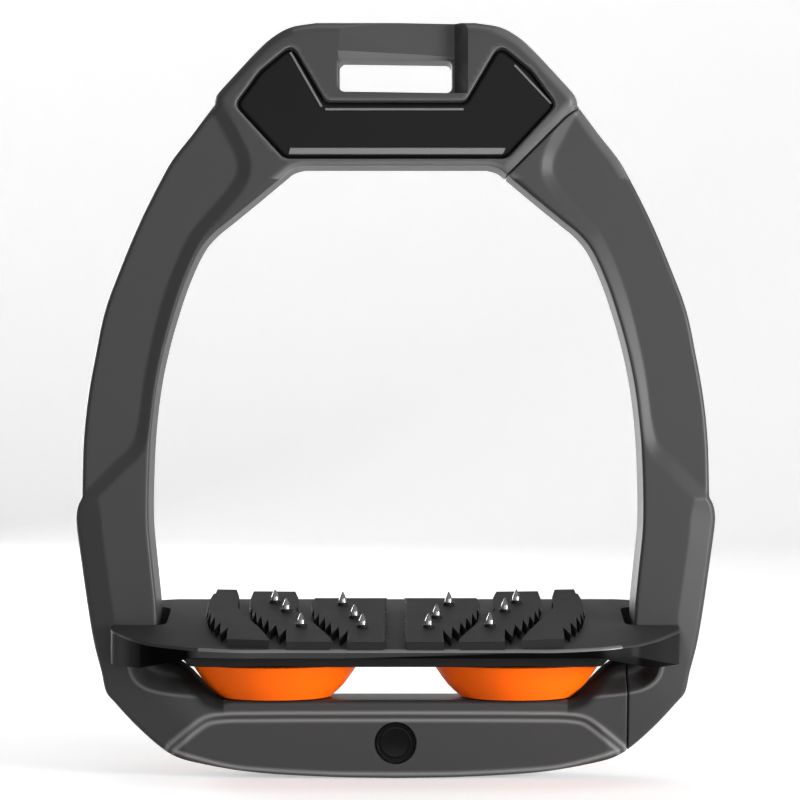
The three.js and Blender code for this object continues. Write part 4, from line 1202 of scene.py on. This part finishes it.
# Grip blocks stand on the leaning top. In a block's own plane a point is [x, v] with v up the slope. The
# outward side is a saw of long narrow notches, then a smooth run to the rear; the inward side is a curve or
# fine teeth.
gripValues = {
    "frontHeight": 1.95, "rearHeight": 2.9, "frontAt": -38.5, "rearAt": 19.3, "foot": 0.02,
    "round": 0.12, "shrinkAcross": 0.07, "fineLength": 3.0, "fineReach": 0.6,
    "blocks": [
        {"saw": [(40.9, -35.2), (41.2, -23.3), (42.75, -30.3), (43.3, -17.6), (44.45, -25), (45, -11.8),
                 (45.8, -19.8), (46.3, -7), (46.7, -15.8), (47.05, -3.3), (47.25, -11.7)],
         "rear": [(47.5, -2.1), (47.5, 5.2), (47.3, 8.9), (46.9, 14.1), (46.35, 14.5), (46.2, 19.3)],
         "inward": [(41.1, 18.9), (39.95, 8.9), (40, 2.7), (39.85, -0.3), (38.8, -6.3), (36.6, -13.4),
                    (32.9, -25.6), (30.2, -36.9)]},
        {"saw": [(26.35, -38.4), (26.8, -25), (28.3, -32.4), (29.5, -20.4), (30.8, -27.3), (31.7, -14.6),
                 (32.5, -23), (33.5, -10.5), (34.25, -17.6), (35, -5.1), (35.6, -12.9), (36.1, -1.5),
                 (36.6, -7)],
         "rear": [(36.95, 0.3), (37.05, 8.9), (36.7, 17)],
         "inward": [(25.9, 16.6), (24.8, 8.3), (24.7, 1.5), (25, -4.5), (23.8, -9.3), (22.05, -12.9),
                    (19.1, -22.2), (15.9, -33.5), (15.1, -38.5)]},
        {"saw": [(11.7, -38.6), (11.6, -26.1), (13.5, -34.9), (14, -22.7), (15.55, -29.3), (16.1, -18.1),
                 (17.2, -24.6), (17.65, -12.9), (18.8, -20.4), (19.2, -8.1), (20.15, -15.2), (20.5, -2.7),
                 (21, -8.3)],
         "rear": [(21.4, 0.3), (21.55, 2.5), (20.7, 9.1)],
         "inward": [(2.2, 9.1), (2.2, -38.5)]},
    ],
}

# Studs: places are [x, v] on the middle and the inner block of the right side
studValues = {
    "places": [[(30.6, 3.9), (27.4, -5.9), (23.2, -21.9)], [(13.4, 1.4), (10.2, -12.8), (8.1, -22.9)]],
    "pocket": 1.5,
    "profile": [(0, -3.2), (0.92, -3.2), (0.93, 1.55), (0.84, 1.75), (0.62, 2.3), (0.34, 2.95), (0.12, 3.37),
                (0, 3.42)],
    "collar": [(0.9, -0.6), (1.35, -0.6), (1.42, -0.4), (1.42, 0.62), (1.34, 0.72), (0.9, 0.74)],
}


# From [x, v, height] on the leaning top to the frame's x, y, z
def onSlope(points):
    p = np.asarray(points, float)
    c, s = math.cos(treadSizes["tilt"]), math.sin(treadSizes["tilt"])
    return np.stack([p[:, 0], p[:, 1] * c - p[:, 2] * s, treadSizes["centre"] + p[:, 1] * s + p[:, 2] * c], 1)


# A block's height grows evenly from front to rear
def gripHeight(v):
    g = gripValues
    share = (v - g["frontAt"]) / (g["rearAt"] - g["frontAt"])
    return g["frontHeight"] + (g["rearHeight"] - g["frontHeight"]) * share


# Fine teeth: out by a quarter of a tooth's length, then back over the rest
def fineSide(low, high):
    v = gripValues
    count = int((high[1] - low[1]) / v["fineLength"])
    rise = np.linspace(low[1], high[1], count + 1)
    points = [(low[0], rise[0])]
    for a, b in zip(rise[:-1], rise[1:]):
        points.append((low[0] + v["fineReach"], a + 0.25 * (b - a)))
        points.append((low[0], b))
    return np.array(points)


# A block's outline: the saw, the smooth rear, then the inward side
def gripOutline(block):
    sides = gripValues["blocks"][block]
    inward = sides["inward"]
    curve = splineThrough(inward, 0.7) if len(inward) > 2 else fineSide(inward[1], inward[0])[::-1]
    return np.concatenate([sides["saw"], sides["rear"], curve])


def buildGrips():
    v = gripValues
    for side, word in ((1, "right"), (-1, "left")):
        spots = []
        for block, row in enumerate(("outer", "middle", "inner")):
            outline = gripOutline(block) * [side, 1]
            centre = (outline.max(0) + outline.min(0)) / 2
            full = gripHeight(outline[:, 1])
            layers = []
            for height, shrink in ((full * 0 + v["foot"], 1.0), (full - v["round"], 0.05), (full, 0.0)):
                scale = 1 - shrink * np.array([v["shrinkAcross"], 0.0])
                if shrink == 0.0:
                    scale = scale - v["round"] / (outline.max(0) - centre)
                layers.append(onSlope(np.column_stack([centre + (outline - centre) * scale, height])))
            grip = stacked(word + row.title() + "Grip", layers, [gripPolymer], 25)
            if block:
                for place in studValues["places"][block - 1]:
                    place = np.array(place) * [side, 1]
                    spots.append(place)
                    tool = [(0, -1), (studValues["pocket"], -1), (studValues["pocket"], 4), (0, 4)]
                    cut(grip, turnedPiece("cutter", tool, onSlope([[*place, 0]])[0], 32, [], slopeSpin))
            dress(grip, "tread", [word + "_" + row + "_grip_block"])
        for i, place in enumerate(spots):
            name = word + "Stud" + str(i + 1)
            centre = onSlope([[*place, gripHeight(place[1])]])[0]
            stud = turnedPiece(name, studValues["profile"], centre, 40, [studSteel], slopeSpin, 30)
            collar = turnedRing("collar", studValues["collar"], centre, 40, [blackPlastic], slopeSpin, 30)
            dress(joined(name, [stud, collar]), "tread", [word + "_stud_" + str(i + 1)])


# Carrier under the tread: a plate whose ends slope with the frame's foot; layers are [height, share of the
# slope, shrink]
carrierValues = {
    "lowHalf": 51.0, "highHalf": 53.2, "front": -20.8, "back": 19.7, "low": -151.05, "high": -148.65,
    "corner": 2.4, "guideHole": 3.4, "screwHole": 1.8, "headHole": 3.0, "headTop": -149.55,
    "washerSeat": 2.8, "washerRim": 5.0,
    "layers": [(0, 0, 0.25), (0.25, 0.1, 0), (2.15, 0.9, 0), (2.4, 1, 0.25)],
}


def buildCarrier():
    c = carrierValues
    layers = []
    for height, share, shrink in c["layers"]:
        half = c["lowHalf"] + (c["highHalf"] - c["lowHalf"]) * share - shrink
        front, back, corner = c["front"] + shrink, c["back"] - shrink, c["corner"]
        loop = [(half - corner, front), (half, front + corner), (half, back - corner), (half - corner, back)]
        loop = np.array(loop + [(-x, y) for x, y in loop[::-1]])
        layers.append(np.column_stack([loop, np.full(len(loop), c["low"] + height)]))
    plate = stacked("treadCarrier", layers, [blackPlastic])
    for x in (-baseSizes["springAt"], baseSizes["springAt"]):
        cut(plate, roundTool("z", c["guideHole"], (x, 0, 0), -153, -147))
        low, high = c["high"] - 0.7, c["high"] + 0.3
        cut(plate, roundTool("z", c["washerSeat"], (x, 0, 0), low, high, c["washerRim"]))
    for x, y in postPlaces():
        cut(plate, roundTool("z", c["screwHole"], (x, y, 0), -153, -147, sides=24))
        cut(plate, roundTool("z", c["headHole"], (x, y, 0), -153, c["headTop"], sides=24))
    dress(plate, "tread", ["tread_carrier"])


slopeCos, slopeSin = math.cos(treadSizes["tilt"]), math.sin(treadSizes["tilt"])
slopeSpin = [[1, 0, 0], [0, slopeCos, -slopeSin], [0, slopeSin, slopeCos]]

buildFrameAndArm()
print("frame and release arm built")
buildSprings()
buildInsert("frontInsert", "front_crown_insert", False)
buildInsert("rearInsert", "rear_crown_insert", True)
buildBadge()
print("springs, inserts and badge built")
buildTread()
buildCarrier()
buildGrips()
print("tread, grips and studs built")


# CAD nodes that keep their shape get a finish
steelNodes = ["hinge_pin", "base_magnet", "arm_magnet"] + ["carrier_screw_" + str(i) for i in range(1, 5)]
for side in ("left", "right"):
    steelNodes += [side + "_guide_screw", side + "_domed_washer", side + "_lock_nut"]
for finish, nodeNames in ((blackPlastic, ["left_guide_bush", "right_guide_bush"]), (zincSteel, steelNodes)):
    for nodeName in nodeNames:
        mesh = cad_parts[nodeName].data
        mesh.materials.clear()
        mesh.materials.append(finish)


# Studio: one swept sheet for floor and backdrop, and soft lamps, in metres; each lamp is [name, place,
# target, size, watts]
studioValues = {
    "floor": -0.18, "front": -1.6, "back": 1.3, "halfWidth": 3.0, "bend": 0.5, "height": 2.6, "pale": 0.93,
    "lamps": [
        ("key", (0.85, -0.52, -0.08), (0, 0, -0.11), 0.4, 20.0),
        ("fill", (0.15, -1.2, -0.12), (0, 0, -0.13), 0.8, 6.5),
        ("top", (0.1, -0.25, 1.2), (0, 0, -0.08), 0.8, 2.5),
        ("rear", (-0.75, 1.0, 0.05), (0, 0, -0.1), 0.5, 13.0),
    ],
    "worldLight": 0.2, "glow": 0.42, "sky": (0.955, 0.965, 0.975, 1),
}


# 1 for the rays that see the backdrop in the picture or in a mirroring surface, 0 for those that only light
def seenRays(tree):
    path = tree.nodes.new("ShaderNodeLightPath")
    names = ("Is Camera Ray", "Is Glossy Ray", "Is Transmission Ray")
    kinds = [Wire(tree, path.outputs[name]) for name in names]
    return (kinds[0] + kinds[1] + kinds[2]).clamped()


def buildStudio():
    v = studioValues
    turns = np.linspace(0, math.pi / 2, 25)
    bend = [(v["back"] + v["bend"] * math.sin(a), v["floor"] + v["bend"] * (1 - math.cos(a))) for a in turns]
    line = np.array([(v["front"], v["floor"])] + bend + [(v["back"] + v["bend"], v["height"])])
    rows = [np.column_stack([np.full(len(line), x), line]) for x in (-v["halfWidth"], v["halfWidth"])]
    n = len(line)
    faces = [[i, n + i, n + i + 1, i + 1] for i in range(n - 1)]
    sheet = meshObject("studioSheet", np.concatenate(rows) / mm, faces, [])
    made, tree, shader = newMaterial("studio paper")
    shader.inputs["Base Color"].default_value = (v["pale"], v["pale"], v["pale"], 1.0)
    shader.inputs["Roughness"].default_value = 0.9
    shader.inputs["Specular IOR Level"].default_value = 0.1
    feed(tree, shader, "Emission Color", seenRays(tree) * v["glow"])
    shader.inputs["Emission Strength"].default_value = 1.0
    sheet.data.materials.append(made)
    world = bpy.data.worlds.new("studio")
    bpy.context.scene.world = world
    world.use_nodes = True
    tree = world.node_tree
    tree.nodes.clear()
    light = node(tree, "ShaderNodeBackground", None, {"Color": (1, 1, 1, 1), "Strength": v["worldLight"]})
    pale = node(tree, "ShaderNodeBackground", None, {"Color": v["sky"], "Strength": 1.0})
    mixed = node(tree, "ShaderNodeMixShader", None, [seenRays(tree), light, pale])
    output = tree.nodes.new("ShaderNodeOutputWorld")
    tree.links.new(mixed.socket, output.inputs["Surface"])
    for name, place, target, size, power in v["lamps"]:
        lamp = bpy.data.lights.new(name, "AREA")
        lamp.shape = "DISK"
        lamp.size = size
        lamp.energy = power
        holder = bpy.data.objects.new(name, lamp)
        holder.location = place
        holder.rotation_euler = (Vector(target) - Vector(place)).to_track_quat("-Z", "Y").to_euler()
        bpy.context.scene.collection.objects.link(holder)


# A level camera in front, at the distance that the perspective gives
cameraValues = {"place": (0.0011, -0.809, -0.08525), "lens": 144.0, "sensor": 36.0}


def buildCamera():
    data = bpy.data.cameras.new("photoCamera")
    data.lens = cameraValues["lens"]
    data.sensor_width = cameraValues["sensor"]
    data.clip_start = 0.01
    data.clip_end = 20.0
    camera = bpy.data.objects.new("photoCamera", data)
    camera.location = cameraValues["place"]
    camera.rotation_euler = (math.pi / 2, 0, 0)
    bpy.context.scene.collection.objects.link(camera)
    bpy.context.scene.camera = camera


buildStudio()
buildCamera()
bpy.context.scene.view_settings.view_transform = "Standard"
print("studio and camera ready")
